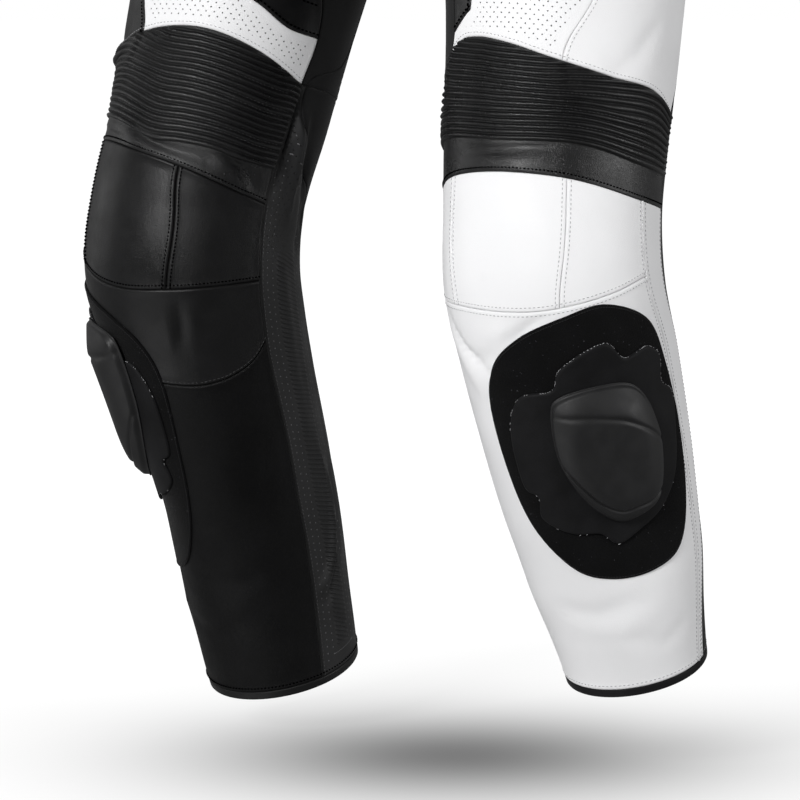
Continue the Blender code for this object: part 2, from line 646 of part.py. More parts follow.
def half_torso(bottom, middle, neck, armhole):
    """Net of one quarter of the upper body: columns from its middle to the side, rows from the waist up."""
    rows = SIDE_ROWS + ARMHOLE_ROWS
    cols = len(bottom) - 1
    start = path(middle, np.linspace(0, 1, rows + 1))
    side = path(SIDE_LINE, np.linspace(0, 1, SIDE_ROWS + 1))
    hole = path(armhole, np.linspace(0, 1, ARMHOLE_ROWS + 1))
    end = np.concatenate([side, hole[1:]])
    collar_edge = path(neck, np.linspace(0, 1, NECK_CELLS + 1))
    shoulder = path(SHOULDER_LINE, np.linspace(0, 1, cols - NECK_CELLS + 1))
    top = np.concatenate([collar_edge, shoulder[1:]])
    start[0] = bottom[0]
    end[0] = bottom[-1]
    net = framed_net(bottom, top, start, end)
    v = np.linspace(0, 1, rows + 1)[:, None]
    u = np.linspace(0, 1, cols + 1)[None, :]
    net[..., 2] += np.sin(math.pi * np.clip(2 * v - 1, 0, 1)) * np.sin(math.pi * u) * SHOULDER_ROUND
    return net


def body_pieces(legs):
    """Hips, seat, chest and back, with the nets that the collar, zip and sleeves start from."""
    pieces = []
    nets = {}
    side_at = COLUMNS["side"]
    for side, leg in legs.items():
        mirrored = side == "right"
        hip = hip_net(leg)
        front = half_torso(hip[-1, : side_at + 1], FRONT_MIDDLE, NECK_FRONT, ARMHOLE_FRONT)
        back_bottom = hip[-1, side_at:][::-1]
        back = half_torso(back_bottom, BACK_MIDDLE, NECK_BACK, ARMHOLE_BACK)[:, ::-1]
        nets[side] = {"hip": hip, "front": front, "back": back}
        hip_front = off_middle(hip[:, : side_at + 1])
        pieces.append(grid_piece(f"hip_front_{side}", hip_front, LEATHER, BLACK, mirrored))
        pieces.append(grid_piece(f"torso_front_{side}", off_middle(front), LEATHER, WHITE, mirrored))
    for name, part, first in (("seat", "hip", side_at), ("torso_back", "back", 0)):
        left = nets["left"][part][:, first:]
        right = nets["right"][part][:, first:][:, ::-1] * (-1, 1, 1)
        net = np.concatenate([left, right[:, 1:]], axis=1)
        pieces.append(grid_piece(name, net, LEATHER, BLACK))
    return pieces, nets


def neck_ring(nets):
    """Neck edge from the left of the zip round the back to its right."""
    left_front = off_middle(nets["left"]["front"])[-1, : NECK_CELLS + 1]
    left_back = nets["left"]["back"][-1, -NECK_CELLS - 1 :]
    right_back = nets["right"]["back"][-1, -NECK_CELLS - 1 :][::-1] * (-1, 1, 1)
    right_front = off_middle(nets["right"]["front"])[-1, : NECK_CELLS + 1][::-1] * (-1, 1, 1)
    return np.concatenate([left_front, left_back[1:], right_back[1:], right_front[1:]])


def collar_net(ring):
    """Stand collar on the neck edge; upright at the front, leaning in a little round the back."""
    centre = np.array([0.0, NECK_CENTRE[1]])
    rows = [ring]
    for k in (1, 2):
        row = ring.copy()
        lean = COLLAR_LEAN * k / 2 * np.clip((ring[:, 1] - ring[0, 1]) / 0.05, 0, 1)
        inward = unit(centre - ring[:, :2])
        row[:, :2] += inward * lean[:, None]
        row[:, 2] += COLLAR_HEIGHT * k / 2
        rows.append(row)
    return np.array(rows)


def zip_net(nets, collar):
    """Tape between the fronts, from the crotch to the top of the collar; its middle column is the coil."""
    left = np.concatenate([
        off_middle(nets["left"]["hip"])[:, 0],
        off_middle(nets["left"]["front"])[1:, 0],
        collar[1:, 0],
    ])
    right = np.concatenate([
        off_middle(nets["right"]["hip"])[:, 0],
        off_middle(nets["right"]["front"])[1:, 0],
        collar[1:, -1] * (-1, 1, 1),
    ]) * (-1, 1, 1)
    middle = (left + right) / 2
    front_line = np.concatenate([nets["left"]["hip"][:, 0], nets["left"]["front"][1:, 0]])
    middle[: len(front_line)] = front_line
    middle[len(front_line) :, 1] = front_line[-1, 1]
    return np.stack([right, middle, left], axis=1)


# ---------------------------------------------------------------- sleeves

def sleeve_section(distance, around):
    """Points of a sleeve section; around is 0 under the arm, 90 at the front, 180 on top."""
    centre = path([row[:4] for row in SLEEVE_STATIONS], distance)
    ahead = path([row[:4] for row in SLEEVE_STATIONS], min(distance + 0.01, SLEEVE_STATIONS[-1][0]))
    behind = path([row[:4] for row in SLEEVE_STATIONS], max(distance - 0.01, 0.0))
    radius = column(SLEEVE_STATIONS, 4, distance)
    along = unit(ahead - behind)
    front = unit(np.array([0.0, -1.0, 0.0]) + along * along[1])
    under = np.cross(along, front)
    under = under if under[0] < 0 else -under
    a = np.radians(around)[:, None]
    return centre + radius * (under * np.cos(a) + front * np.sin(a)), along


def sleeve_net(front, back):
    """Net of the left sleeve: rows from the armhole down, columns from under the arm round the front."""
    hole = np.concatenate([front[SIDE_ROWS:, -1], back[SIDE_ROWS:, 0][::-1][1:]])
    around = np.linspace(0, 360, len(hole))
    ring, along = sleeve_section(0.0, around)
    reach = np.linalg.norm(ring - hole, axis=-1, keepdims=True)
    outward = unit(np.array([1.0, 0.0, -0.25]))
    rows = [
        hermite(hole, ring, outward * reach, along * reach, k / SLEEVE_HEAD_ROWS)
        for k in range(SLEEVE_HEAD_ROWS + 1)
    ]
    length = SLEEVE_STATIONS[-1][0]
    stops = np.linspace(0, length - CUFF_LENGTH, SLEEVE_ROWS + 1)[1:]
    rows += [sleeve_section(stop, around)[0] for stop in stops]
    rows += [sleeve_section(length, around)[0]]
    net = np.array(rows)
    net[:, -1] = net[:, 0]
    return net[::-1]


def sleeve_pieces(nets):
    """Outer and inner sleeve and cuff on each side."""
    pieces = []
    for side in ("left", "right"):
        mirrored = side == "right"
        net = sleeve_net(nets[side]["front"], nets[side]["back"])
        quarter = (net.shape[1] - 1) // 4
        first, last = quarter, net.shape[1] - 1 - quarter
        top = len(net) - 1
        closed = net[:, :-1]
        outer = [(1, top, first, last)]
        inner_net = np.concatenate([net[:, last:], net[:, 1 : first + 1]], axis=1)
        pieces.append(block_piece(f"sleeve_outer_{side}", net, outer, LEATHER, BLACK, mirrored))
        pieces.append(grid_piece(f"sleeve_inner_{side}", inner_net[1:], STRETCH, BLACK, mirrored))
        pieces.append(ring_piece(f"cuff_{side}", closed[:2], STRETCH, BLACK, mirrored))
    return pieces


# ---------------------------------------------------------------- knee slider layers

def net_position(leg, angle, height):
    """Place of an (angle, height) in the net of a leg, as fractional column and row."""
    col = row = 5.0
    columns = np.arange(leg["angle"].shape[1])
    rows = np.arange(leg["angle"].shape[0])
    for _ in range(20):
        angles = [np.interp(row, rows, leg["angle"][:, k]) for k in columns]
        col = float(np.interp(angle, angles, columns))
        heights = [np.interp(col, columns, leg["height"][k]) for k in rows]
        row = float(np.interp(height, heights, rows))
    return col, row


def closed_curve(table, per_span):
    """Smooth closed curve through the points of a table."""
    points = np.array(table, float)
    count = len(points)
    curve = []
    for k in range(count):
        before, start, end, after = (points[(k + shift) % count] for shift in (-1, 0, 1, 2))
        for step in range(per_span):
            curve.append(hermite(start, end, (end - before) / 2, (after - start) / 2, step / per_span))
    return np.array(curve)


def outline_on_leg(leg, table, fit, per_span):
    """Outline of a layer as positions in the net of a leg."""
    turn, widen, lift, above, below = fit
    curve = closed_curve(table, per_span)
    across, middle = (curve.max(axis=0) + curve.min(axis=0)) / 2
    angles = across + turn + (curve[:, 0] - across) * widen
    rise = curve[:, 1] - middle
    heights = middle + lift + rise * np.where(rise > 0, above, below)
    return [net_position(leg, angle, height) for angle, height in zip(angles, heights)]


def clipped(outline, cell):
    """The part of an outline inside a convex cell whose corners run anticlockwise."""
    shape = list(outline)
    for a, b in zip(cell, cell[1:] + cell[:1]):
        offsets = [(b[0] - a[0]) * (p[1] - a[1]) - (b[1] - a[1]) * (p[0] - a[0]) for p in shape]
        kept = []
        for k, point in enumerate(shape):
            before, now = offsets[k - 1], offsets[k]
            if (before > 0 > now) or (before < 0 < now):
                share = before / (before - now)
                kept.append(tuple(q + (p - q) * share for p, q in zip(point, shape[k - 1])))
            if now >= 0:
                kept.append(point)
        shape = kept
    return shape


def net_cells(outline, per_cell):
    """Convex cells that cover an outline: parts of net cells, each on one flat triangle of the net."""
    first = [math.floor(min(p[axis] for p in outline) * per_cell) for axis in (0, 1)]
    last = [math.ceil(max(p[axis] for p in outline) * per_cell) for axis in (0, 1)]
    for i in range(first[0], last[0]):
        for j in range(first[1], last[1]):
            around = ((0, 0), (1, 0), (1, 1), (0, 1))
            corners = [((i + di) / per_cell, (j + dj) / per_cell) for di, dj in around]
            if i % per_cell == j % per_cell:
                yield [corners[0], corners[1], corners[2]]
                yield [corners[0], corners[2], corners[3]]
            else:
                yield corners


def cut_flat(outline, per_cell):
    """Positions and faces of an outline cut along the lines and diagonals of the net and between them."""
    spots = {}
    faces = []
    for cell in net_cells(outline, per_cell):
        face = []
        for col, row in clipped(outline, cell):
            index = spots.setdefault((round(col, 5), round(row, 5)), len(spots))
            if index not in face:
                face.append(index)
        if len(face) > 2:
            faces.append(face)
    return list(spots), faces


def snapped(value, per_cell):
    """A net position moved onto a line of the net that it all but touches."""
    near = round(value * per_cell) / per_cell
    return near if abs(value - near) < SNAP else value


def on_net(grid, col, row):
    """Value of a net at a fractional column and row, on the two triangles of each cell."""
    c = min(int(col), grid.shape[1] - 2)
    r = min(int(row), grid.shape[0] - 2)
    u, v = col - c, row - r
    if u > v:
        return grid[r, c] * (1 - u) + grid[r, c + 1] * (u - v) + grid[r + 1, c + 1] * v
    return grid[r, c] * (1 - v) + grid[r + 1, c] * (v - u) + grid[r + 1, c + 1] * u


def layer_object(name, leg, normals, outline, base, profile, per_cell, mirrored, collection):
    """Closed layer over an outline on the shin: its underside at base, its top at base plus profile."""
    outline = [tuple(snapped(value, per_cell) for value in point) for point in outline]
    spots, faces = cut_flat(outline, per_cell)
    middle = np.mean(outline, axis=0)
    mirror = np.array([-1.0 if mirrored else 1.0, 1.0, 1.0])
    mesh = bmesh.new()
    low, high = [], []
    for col, row in spots:
        point = on_net(leg["points"], col, row) * mirror
        normal = on_net(normals, col, row) * mirror
        depth = inside_share(np.array([col, row]), middle, np.array(outline))
        low.append(mesh.verts.new(point + normal * base))
        high.append(mesh.verts.new(point + normal * (base + profile(depth))))
    edges = {(a, b) for face in faces for a, b in zip(face, face[1:] + face[:1])}
    for face in faces:
        mesh.faces.new([high[k] for k in face])
        mesh.faces.new([low[k] for k in reversed(face)])
    for a, b in edges:
        if (b, a) not in edges:
            mesh.faces.new((low[a], low[b], high[b], high[a]))
    bmesh.ops.recalc_face_normals(mesh, faces=mesh.faces[:])
    return add_object(name, mesh, BLACK, collection)


def inside_share(point, middle, outline):
    """1 at the middle of an outline and 0 on it."""
    ray = point - middle
    if np.linalg.norm(ray) < 1e-9:
        return 1.0
    best = 0.0
    for a, b in zip(outline, np.roll(outline, -1, axis=0)):
        side = b - a
        outward = np.array([side[1], -side[0]])
        reach = float(np.dot(outward, a - middle))
        if reach < 0:
            outward, reach = -outward, -reach
        best = max(best, float(np.dot(outward, ray)) / reach)
    return max(0.0, 1.0 - best)


def puck_profile(depth):
    """Height of the slider over its base: a steep rounded rim, then a low crown."""
    return PUCK_RIM + (PUCK_CROWN - PUCK_RIM) * math.sin(min(depth / 0.55, 1.0) * math.pi / 2)


def slider_layers(side, leg, normals, collection):
    """Hook-and-loop field, cloth base and moulded slider on the outside of the shin."""
    mirrored = side == "right"
    patch_base = LEATHER + LAYER_GAP
    backing_base = patch_base + PATCH_THICKNESS + LAYER_GAP
    puck_base = backing_base + BACKING_THICKNESS + LAYER_GAP
    layers = (
        # name, outline, points to a span, base, height over the base, cuts to a cell
        ("patch", PATCH_OUTLINE, 2, patch_base, lambda depth: PATCH_THICKNESS, 1),
        ("backing", BACKING_OUTLINE, 2, backing_base, lambda depth: BACKING_THICKNESS, 1),
        ("puck", PUCK_OUTLINE, 2, puck_base, puck_profile, 3),
    )
    for name, table, per_span, base, profile, per_cell in layers:
        outline = outline_on_leg(leg, table, LAYER_FIT[side][name], per_span)
        title = f"slider_{name}_{side}"
        layer_object(title, leg, normals, outline, base, profile, per_cell, mirrored, collection)


# ---------------------------------------------------------------- zip hardware

def box(mesh, size, centre):
    """Box in a bmesh; returns its vertices."""
    made = bmesh.ops.create_cube(mesh, size=1.0)
    for vert in made["verts"]:
        vert.co.x = vert.co.x * size[0] + centre[0]
        vert.co.y = vert.co.y * size[1] + centre[1]
        vert.co.z = vert.co.z * size[2] + centre[2]
    return made["verts"]


def combine(first, second, operation):
    """Joins the second object to the first, or cuts it out, and removes it."""
    modifier = first.modifiers.new(operation.lower(), "BOOLEAN")
    modifier.operation = operation
    modifier.object = second
    evaluated = first.evaluated_get(bpy.context.evaluated_depsgraph_get())
    joined = bpy.data.meshes.new_from_object(evaluated)
    first.modifiers.clear()
    first.data = joined
    bpy.data.objects.remove(second)


def zip_hardware(coil_face, collection):
    """Slider with its pin on two posts, and the pull tab whose eye hangs on the pin."""
    depth, height = SLIDER_SIZE[1:]
    back = coil_face[1] - LAYER_GAP
    middle_z = coil_face[2] - SLIDER_DROP - height / 2
    face = back - depth
    pin = (0.0, face - PIN_STANDOFF, middle_z + height / 4)
    slider_mesh = bmesh.new()
    box(slider_mesh, SLIDER_SIZE, (0.0, back - depth / 2, middle_z))
    slider = add_object("zip_slider", slider_mesh, BLACK, collection, 0.35, 0.8)
    for sign in (-1, 1):
        post_mesh = bmesh.new()
        reach = PIN_STANDOFF + PIN_RADIUS + depth / 2
        post_x = sign * (PIN_HALF_SPAN + POST_SIZE[0] / 2)
        box(post_mesh, (POST_SIZE[0], reach, POST_SIZE[1]), (post_x, face + depth / 2 - reach / 2, pin[2]))
        combine(slider, add_object("post", post_mesh, BLACK, collection), "UNION")
    pin_mesh = bmesh.new()
    rod(pin_mesh, PIN_RADIUS, 2 * PIN_HALF_SPAN + POST_SIZE[0], pin)
    combine(slider, add_object("pin", pin_mesh, BLACK, collection), "UNION")
    pull_tab(pin, collection)


def rod(mesh, radius, length, centre):
    """Round bar along x in a bmesh."""
    made = bmesh.ops.create_cone(
        mesh, cap_ends=True, segments=ROD_SIDES, radius1=radius, radius2=radius, depth=length
    )
    for vert in made["verts"]:
        x, y, z = vert.co
        vert.co = (z + centre[0], y + centre[1], centre[2] - x)


def pull_tab(pin, collection):
    """Flat tab that hangs from a round knuckle, bored for the pin."""
    tab_mesh = bmesh.new()
    box(tab_mesh, TAB_SIZE, (pin[0], pin[1], pin[2] - KNUCKLE_BORE - TAB_SIZE[2] / 2))
    tab = add_object("zip_pull_tab", tab_mesh, BLACK, collection, 0.35, 0.8)
    knuckle_mesh = bmesh.new()
    rod(knuckle_mesh, KNUCKLE_RADIUS, KNUCKLE_LENGTH, pin)
    combine(tab, add_object("knuckle", knuckle_mesh, BLACK, collection), "UNION")
    bore_mesh = bmesh.new()
    rod(bore_mesh, KNUCKLE_BORE, 2 * KNUCKLE_LENGTH, pin)
    combine(tab, add_object("bore", bore_mesh, BLACK, collection), "DIFFERENCE")


# ---------------------------------------------------------------- the suit

def net_normals(net, lookup, side):
    """Outward directions of the cloth at the points of a leg's net, in the left-hand shape."""
    flip = np.array([-1.0 if side == "right" else 1.0, 1.0, 1.0])
    normals = np.zeros_like(net)
    for spot in np.ndindex(net.shape[:2]):
        normals[spot] = lookup.get(key(net[spot] * flip), flip) * flip
    return normals


def build():
    for obj in list(bpy.data.objects):
        bpy.data.objects.remove(obj)
    collection = bpy.data.collections.new(SUIT)
    bpy.context.scene.collection.children.link(collection)
    legs = {side: leg_net(side) for side in ("left", "right")}
    pieces = [piece for side, leg in legs.items() for piece in leg_pieces(side, leg)]
    pieces.append(gusset_piece(legs))
    body, nets = body_pieces(legs)
    pieces += body
    collar = collar_net(neck_ring(nets))
    pieces.append(grid_piece("collar", collar, LEATHER, BLACK))
    tape = zip_net(nets, collar)
    coil = np.zeros(tape.shape[:2])
    coil[:, 1] = ZIP_COIL
    pieces.append(grid_piece("front_zip", tape, STRETCH, BLACK, relief=coil))
    pieces += sleeve_pieces(nets)
    lookup = shared_normals(pieces)
    for piece in pieces:
        wall_object(piece, lookup, collection)
    for side, leg in legs.items():
        slider_layers(side, leg, net_normals(leg["points"], lookup, side), collection)
    coil_face = tape[-1, 1] - np.array([0.0, STRETCH + ZIP_COIL, 0.0])
    zip_hardware(coil_face, collection)


build()
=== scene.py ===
"""Looks of a one-piece leather motorcycle race suit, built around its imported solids.

Each cloth piece is worked out on the same surfaces as its solid (leg, trunk, upper body, sleeve), much finer, with
rounded seam edges, pleats, creases and puckers. Heights are above the wearer's floor, x is the wearer's left and
-y the front; PLACE carries them to the frame, whose origin is the middle of the neck opening.
"""

import math

import bpy
import numpy as np
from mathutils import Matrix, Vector
from mathutils.bvhtree import BVHTree
from mathutils.kdtree import KDTree


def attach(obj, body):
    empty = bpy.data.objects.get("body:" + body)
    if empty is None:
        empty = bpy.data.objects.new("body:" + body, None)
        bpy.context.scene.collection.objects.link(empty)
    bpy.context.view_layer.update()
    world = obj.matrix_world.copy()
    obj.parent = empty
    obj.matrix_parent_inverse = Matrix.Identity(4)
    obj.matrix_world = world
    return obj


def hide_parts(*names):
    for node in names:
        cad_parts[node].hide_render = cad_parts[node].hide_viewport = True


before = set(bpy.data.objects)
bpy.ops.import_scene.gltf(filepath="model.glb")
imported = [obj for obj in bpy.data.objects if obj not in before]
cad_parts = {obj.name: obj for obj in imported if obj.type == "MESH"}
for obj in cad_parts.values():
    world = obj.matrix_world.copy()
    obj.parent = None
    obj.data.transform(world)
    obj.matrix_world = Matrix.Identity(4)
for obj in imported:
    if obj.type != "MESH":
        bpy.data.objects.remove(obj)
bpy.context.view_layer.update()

# ---------------------------------------------------------------- sizes, metres and degrees

PLACE = np.array([0.0, 0.012, -1.500])
LEATHER = 0.0020
STRETCH = 0.0016
SEAM_GAP = 0.0002
LAYER_GAP = 0.0003
PATCH_THICKNESS = 0.0014
BACKING_THICKNESS = 0.0026
RIB_HEIGHT = 0.0024
HEM_HEIGHT = {"left": 0.155, "right": 0.121}
HEM_BINDING = 0.007
LEG_TOP = 0.745
KNEE_HEIGHT = 0.430
ZIP_HALF_WIDTH = 0.0070
ZIP_COIL = 0.0012
ZIP_COIL_FORM = (0.55, 0.9, 1.0, 0.9, 0.55)
ZIP_LANES = 17
COLLAR_HEIGHT = 0.040
COLLAR_LEAN = 0.006
CUFF_LENGTH = 0.045
ROUND_LIMIT = 281
SIDES = ("left", "right")

LEG_STATIONS = (
    # height, forward, aside, pitch, front, back, outer, inner
    (0.090, -0.055, 0.194, 20, 0.060, 0.064, 0.063, 0.063),
    (0.140, -0.040, 0.194, 20, 0.064, 0.069, 0.067, 0.067),
    (0.180, -0.028, 0.194, 20, 0.067, 0.072, 0.069, 0.069),
    (0.245, -0.007, 0.195, 20, 0.074, 0.080, 0.075, 0.074),
    (0.312, 0.020, 0.196, 20, 0.082, 0.088, 0.080, 0.079),
    (0.378, 0.044, 0.197, 18, 0.087, 0.091, 0.083, 0.083),
    (0.430, 0.061, 0.196, 12, 0.089, 0.091, 0.086, 0.086),
    (0.480, 0.074, 0.193, 3, 0.091, 0.090, 0.088, 0.088),
    (0.540, 0.072, 0.188, -6, 0.090, 0.091, 0.087, 0.086),
    (0.610, 0.056, 0.180, -11, 0.094, 0.095, 0.090, 0.089),
    (0.700, 0.035, 0.171, -12, 0.099, 0.101, 0.095, 0.094),
    (0.760, 0.022, 0.163, -12, 0.103, 0.106, 0.100, 0.099),
)

# Flat of the shin under the slider: (height, depth), in the direction SHIN_FLAT_AT.
SHIN_FLAT = ((0.200, 0.0), (0.250, 0.007), (0.300, 0.015), (0.360, 0.015), (0.420, 0.008), (0.460, -0.002),
             (0.500, -0.005), (0.560, -0.003), (0.610, 0.0))
SHIN_FLAT_AT = 50
SHIN_FLAT_WIDTH = 46
# How a hem hangs: its girth's share, and how far it is drawn back and out.
HEM_HANG = {"left": (0.895, 0.0030), "right": (1.0, 0.0)}
HEM_HANG_FROM = 0.250
HEM_HANG_HEIGHT = 0.095
HEM_HANG_AT = 128

# Seams down the leg: (height, angle); angle 0 is the front, 90 the outside, -90 the inside.
MEDIAL_SEAM = ((0.09, -67), (0.20, -74), (0.27, -77), (0.34, -80), (0.43, -78), (0.54, -79))
CUP_INNER_SEAM = ((0.09, -26), (0.30, -26), (0.477, -25), (0.515, -28), (0.56, -26))
CUP_OUTER_SEAM = ((0.09, 42), (0.40, 40), (0.477, 39), (0.515, 43), (0.562, 44))
SIDE_SEAM = ((0.09, 94), (0.17, 98), (0.228, 104), (0.30, 110), (0.38, 108), (0.426, 104), (0.494, 91),
             (0.552, 90))
BACK_SEAM = ((0.09, 104), (0.175, 107), (0.239, 117), (0.32, 131), (0.40, 131), (0.506, 113), (0.552, 115))
CALF_SEAM = {
    "left": ((0.09, 237), (0.30, 239), (0.53, 240), (0.556, 243), (0.580, 262), (0.608, 284), (0.636, 296)),
    "right": ((0.09, 237), (0.30, 239), (0.53, 239), (0.556, 241), (0.580, 258), (0.608, 270),
              (0.625, 273), (0.640, 273)),
}
THIGH_SEAMS = {
    "left": {
        "medial": ((0.585, -65), (0.631, -40), (0.657, -31), (0.700, -29), (0.760, -50)),
        "cup_inner": ((0.610, -20), (0.657, -18), (0.696, -13), (0.760, -12)),
        "cup_outer": ((0.610, 42), (0.661, 39), (0.703, 51), (0.760, 58)),
    },
    "right": {
        "medial": ((0.600, -80), (0.641, -83), (0.679, -86), (0.711, -82), (0.760, -56)),
        "cup_inner": ((0.610, -32), (0.650, -42), (0.699, -46), (0.760, -30)),
        "cup_outer": ((0.620, 32), (0.673, 14), (0.692, 18), (0.760, 28)),
    },
}
THIGH_SIDE = ((0.62, 88), (0.70, 92), (0.76, 95))
THIGH_BACK = ((0.600, 113), (0.635, 117), (0.660, 126), (0.700, 134), (0.760, 134))
THIGH_CALF = {
    "left": ((0.645, 294), (0.672, 256), (0.690, 244), (0.760, 232)),
    "right": ((0.646, 271), (0.664, 245), (0.672, 240), (0.760, 232)),
}

# Seams round the leg: (angle, height).
GUSSET_SEAM = ((-79, 0.430), (-71, 0.418), (-56, 0.408), (-41, 0.405), (-13, 0.409), (60, 0.415),
               (281, 0.430))
CUP_LOWER_SEAM = {
    "left": ((-79, 0.477), (-24, 0.475), (38, 0.475), (69, 0.484), (89, 0.493), (180, 0.492), (281, 0.477)),
    "right": ((-79, 0.477), (-24, 0.475), (4, 0.476), (20, 0.480), (35, 0.487), (50, 0.495), (89, 0.502),
              (180, 0.494), (281, 0.477)),
}
CUP_UPPER_SEAM = {
    "left": ((-79, 0.546), (-55, 0.553), (-38, 0.559), (0, 0.565), (43, 0.564), (89, 0.554), (180, 0.548),
             (281, 0.546)),
    "right": ((-79, 0.539), (-56, 0.549), (-26, 0.563), (0, 0.572), (40, 0.581), (89, 0.572), (180, 0.552),
              (281, 0.539)),
}
RIB_LOWER_LINE = {
    "left": ((-79, 0.580), (-43, 0.589), (8, 0.588), (55, 0.589), (79, 0.583), (180, 0.578), (281, 0.580)),
    "right": ((-79, 0.568), (-65, 0.570), (-53, 0.574), (-39, 0.578), (-25, 0.580), (-6, 0.582), (8, 0.589),
              (20, 0.594), (45, 0.600), (89, 0.594), (180, 0.576), (281, 0.568)),
}
RIB_UPPER_SEAM = {
    "left": ((-79, 0.632), (-55, 0.641), (-40, 0.648), (-30, 0.657), (-20, 0.665), (-8, 0.6665),
             (8, 0.663), (32, 0.654), (63, 0.646), (98, 0.641), (112, 0.631), (180, 0.632), (281, 0.632)),
    "right": ((-82, 0.640), (-55, 0.659), (-24, 0.672), (0, 0.671), (20, 0.665), (46, 0.652), (60, 0.645),
              (98, 0.640), (180, 0.637), (232, 0.640), (281, 0.640)),
}
THIGH_STEP = {
    "left": ((-79, 0.672), (-28, 0.672), (-14, 0.688), (20, 0.697), (110, 0.700), (281, 0.672)),
    "right": ((-86, 0.679), (-67, 0.682), (-46, 0.699), (0, 0.703), (110, 0.700), (281, 0.679)),
}

# Net of the solids: cells between seams, and between rings.
COLUMN_CELLS = (4, 4, 3, 2, 7, 4)
COLUMN_NAMES = ("medial", "cup_inner", "cup_outer", "side", "back", "calf", "end")
COLUMN_WIDTHS = (0.085, 0.095, 0.080, 0.030, 0.165, 0.070)
RING_NAMES = ("hem", "binding", "gusset", "cup", "strip", "ribs", "band", "step", "top", "root")
RING_HEIGHTS = (0.007, 0.245, 0.070, 0.085, 0.023, 0.075, 0.035, 0.045, 0.150)

TRUNK_STATIONS = (
    # height, centre_y, half_width, front, back
    (0.800, 0.012, 0.222, 0.112, 0.132),
    (0.900, 0.012, 0.236, 0.122, 0.136),
    (1.000, 0.010, 0.216, 0.120, 0.126),
    (1.080, 0.006, 0.202, 0.118, 0.120),
)
WAIST = 1.080
ROOT_LINE = ((0, 0.835), (45, 0.872), (90, 0.930), (135, 0.905), (180, 0.850))
CROTCH_LINE = ((0.0, -0.100, 0.835), (0.25, -0.052, 0.806), (0.5, 0.010, 0.796), (0.75, 0.082, 0.808),
               (1.0, 0.144, 0.850))
FRONT_MIDDLE = ((0.0, 0.0, -0.112, 1.080), (0.35, 0.0, -0.138, 1.220), (0.7, 0.0, -0.136, 1.360),
                (1.0, 0.0, -0.086, 1.462))
BACK_MIDDLE = ((0.0, 0.0, 0.126, 1.080), (0.35, 0.0, 0.128, 1.220), (0.7, 0.0, 0.124, 1.380),
               (1.0, 0.0, 0.056, 1.516))
SIDE_LINE = ((0.0, 0.202, 0.006, 1.080), (0.5, 0.216, 0.004, 1.210), (1.0, 0.224, 0.004, 1.330))
ARMHOLE_FRONT = ((0.0, 0.224, 0.004, 1.330), (0.3, 0.206, -0.062, 1.358), (0.62, 0.200, -0.072, 1.420),
                 (0.85, 0.214, -0.046, 1.468), (1.0, 0.228, 0.004, 1.482))
ARMHOLE_BACK = ((0.0, 0.224, 0.004, 1.330), (0.3, 0.210, 0.068, 1.358), (0.62, 0.206, 0.078, 1.420),
                (0.85, 0.216, 0.052, 1.468), (1.0, 0.228, 0.004, 1.482))
NECK_FRONT = ((0.0, 0.0, -0.086, 1.462), (0.5, 0.056, -0.056, 1.482), (1.0, 0.074, 0.004, 1.512))
NECK_BACK = ((0.0, 0.0, 0.056, 1.516), (0.5, 0.050, 0.044, 1.516), (1.0, 0.074, 0.004, 1.512))
SHOULDER_LINE = ((0.0, 0.074, 0.004, 1.512), (0.5, 0.150, 0.004, 1.505), (1.0, 0.228, 0.004, 1.482))
SHOULDER_ROUND = 0.016
SIDE_ROWS = 3
ARMHOLE_ROWS = 6
NECK_CELLS = 5
SLEEVE_STATIONS = (
    # distance, x, y, height, radius
    (0.00, 0.300, 0.002, 1.330, 0.072),
    (0.12, 0.346, 0.002, 1.220, 0.066),
    (0.23, 0.388, -0.004, 1.120, 0.060),
    (0.35, 0.424, -0.050, 1.015, 0.054),
    (0.46, 0.450, -0.105, 0.925, 0.044),
)

# Outlines of the knee slider's layers on the shin: (angle, height).
PATCH_OUTLINE = ((61, 0.476), (85, 0.460), (96, 0.425), (103, 0.370), (101, 0.310), (88, 0.275),
                 (64, 0.265), (35, 0.267), (12, 0.280), (-6, 0.315), (-13, 0.360), (-13, 0.410),
                 (-4, 0.438), (14, 0.456), (38, 0.469))
BACKING_OUTLINE = ((33, 0.436), (56, 0.450), (67, 0.436), (81, 0.440), (90, 0.428), (90, 0.407),
                   (97, 0.395), (98, 0.375), (93, 0.335), (80, 0.312), (60, 0.300), (44, 0.295),
                   (34, 0.306), (17, 0.311), (3, 0.325), (4, 0.342), (-3, 0.352), (-2, 0.392), (8, 0.417),
                   (26, 0.421))
PUCK_OUTLINE = ((29, 0.416), (47, 0.420), (65, 0.416), (75, 0.397), (79, 0.370), (77, 0.335), (70, 0.316),
                (50, 0.311), (36, 0.323), (26, 0.345), (21, 0.372), (23, 0.405))
LAYER_FIT = {
    # turn, stretch round the leg, lift, stretch above the middle, stretch below it
    "left": {
        "patch": (1, 1.045, 0.0, 1.0, 1.07),
        "backing": (1, 1.05, 0.0, 1.0, 1.09),
        "puck": (3, 1.13, 0.0, 1.0, 1.09),
    },
    "right": {
        "patch": (0, 1.02, 0.0, 1.0, 1.30),
        "backing": (-2, 1.06, 0.006, 1.0, 1.08),
        "puck": (-8, 1.20, 0.020, 1.20, 1.24),
    },
}

# How fine the visual cloth is: spacing of its points, and the extra lines beside each seam.
LEG_SPACING = 0.0042
BODY_SPACING = 0.0080
SEAM_STEPS = np.array([0.0006, 0.0013, 0.0022, 0.0034])
RIB_ROWS = 168
HEM_ROWS = 8
EDGE_SAMPLES = 6
FREE_LINE_POINTS = 60
# Usual lengths of the hip, side and armhole and of the sleeve's head, for the spacing of their rows.
HIP_LENGTH = 0.20
SIDE_LENGTH = 0.25
ARMHOLE_LENGTH = 0.15
SLEEVE_HEAD = 0.10
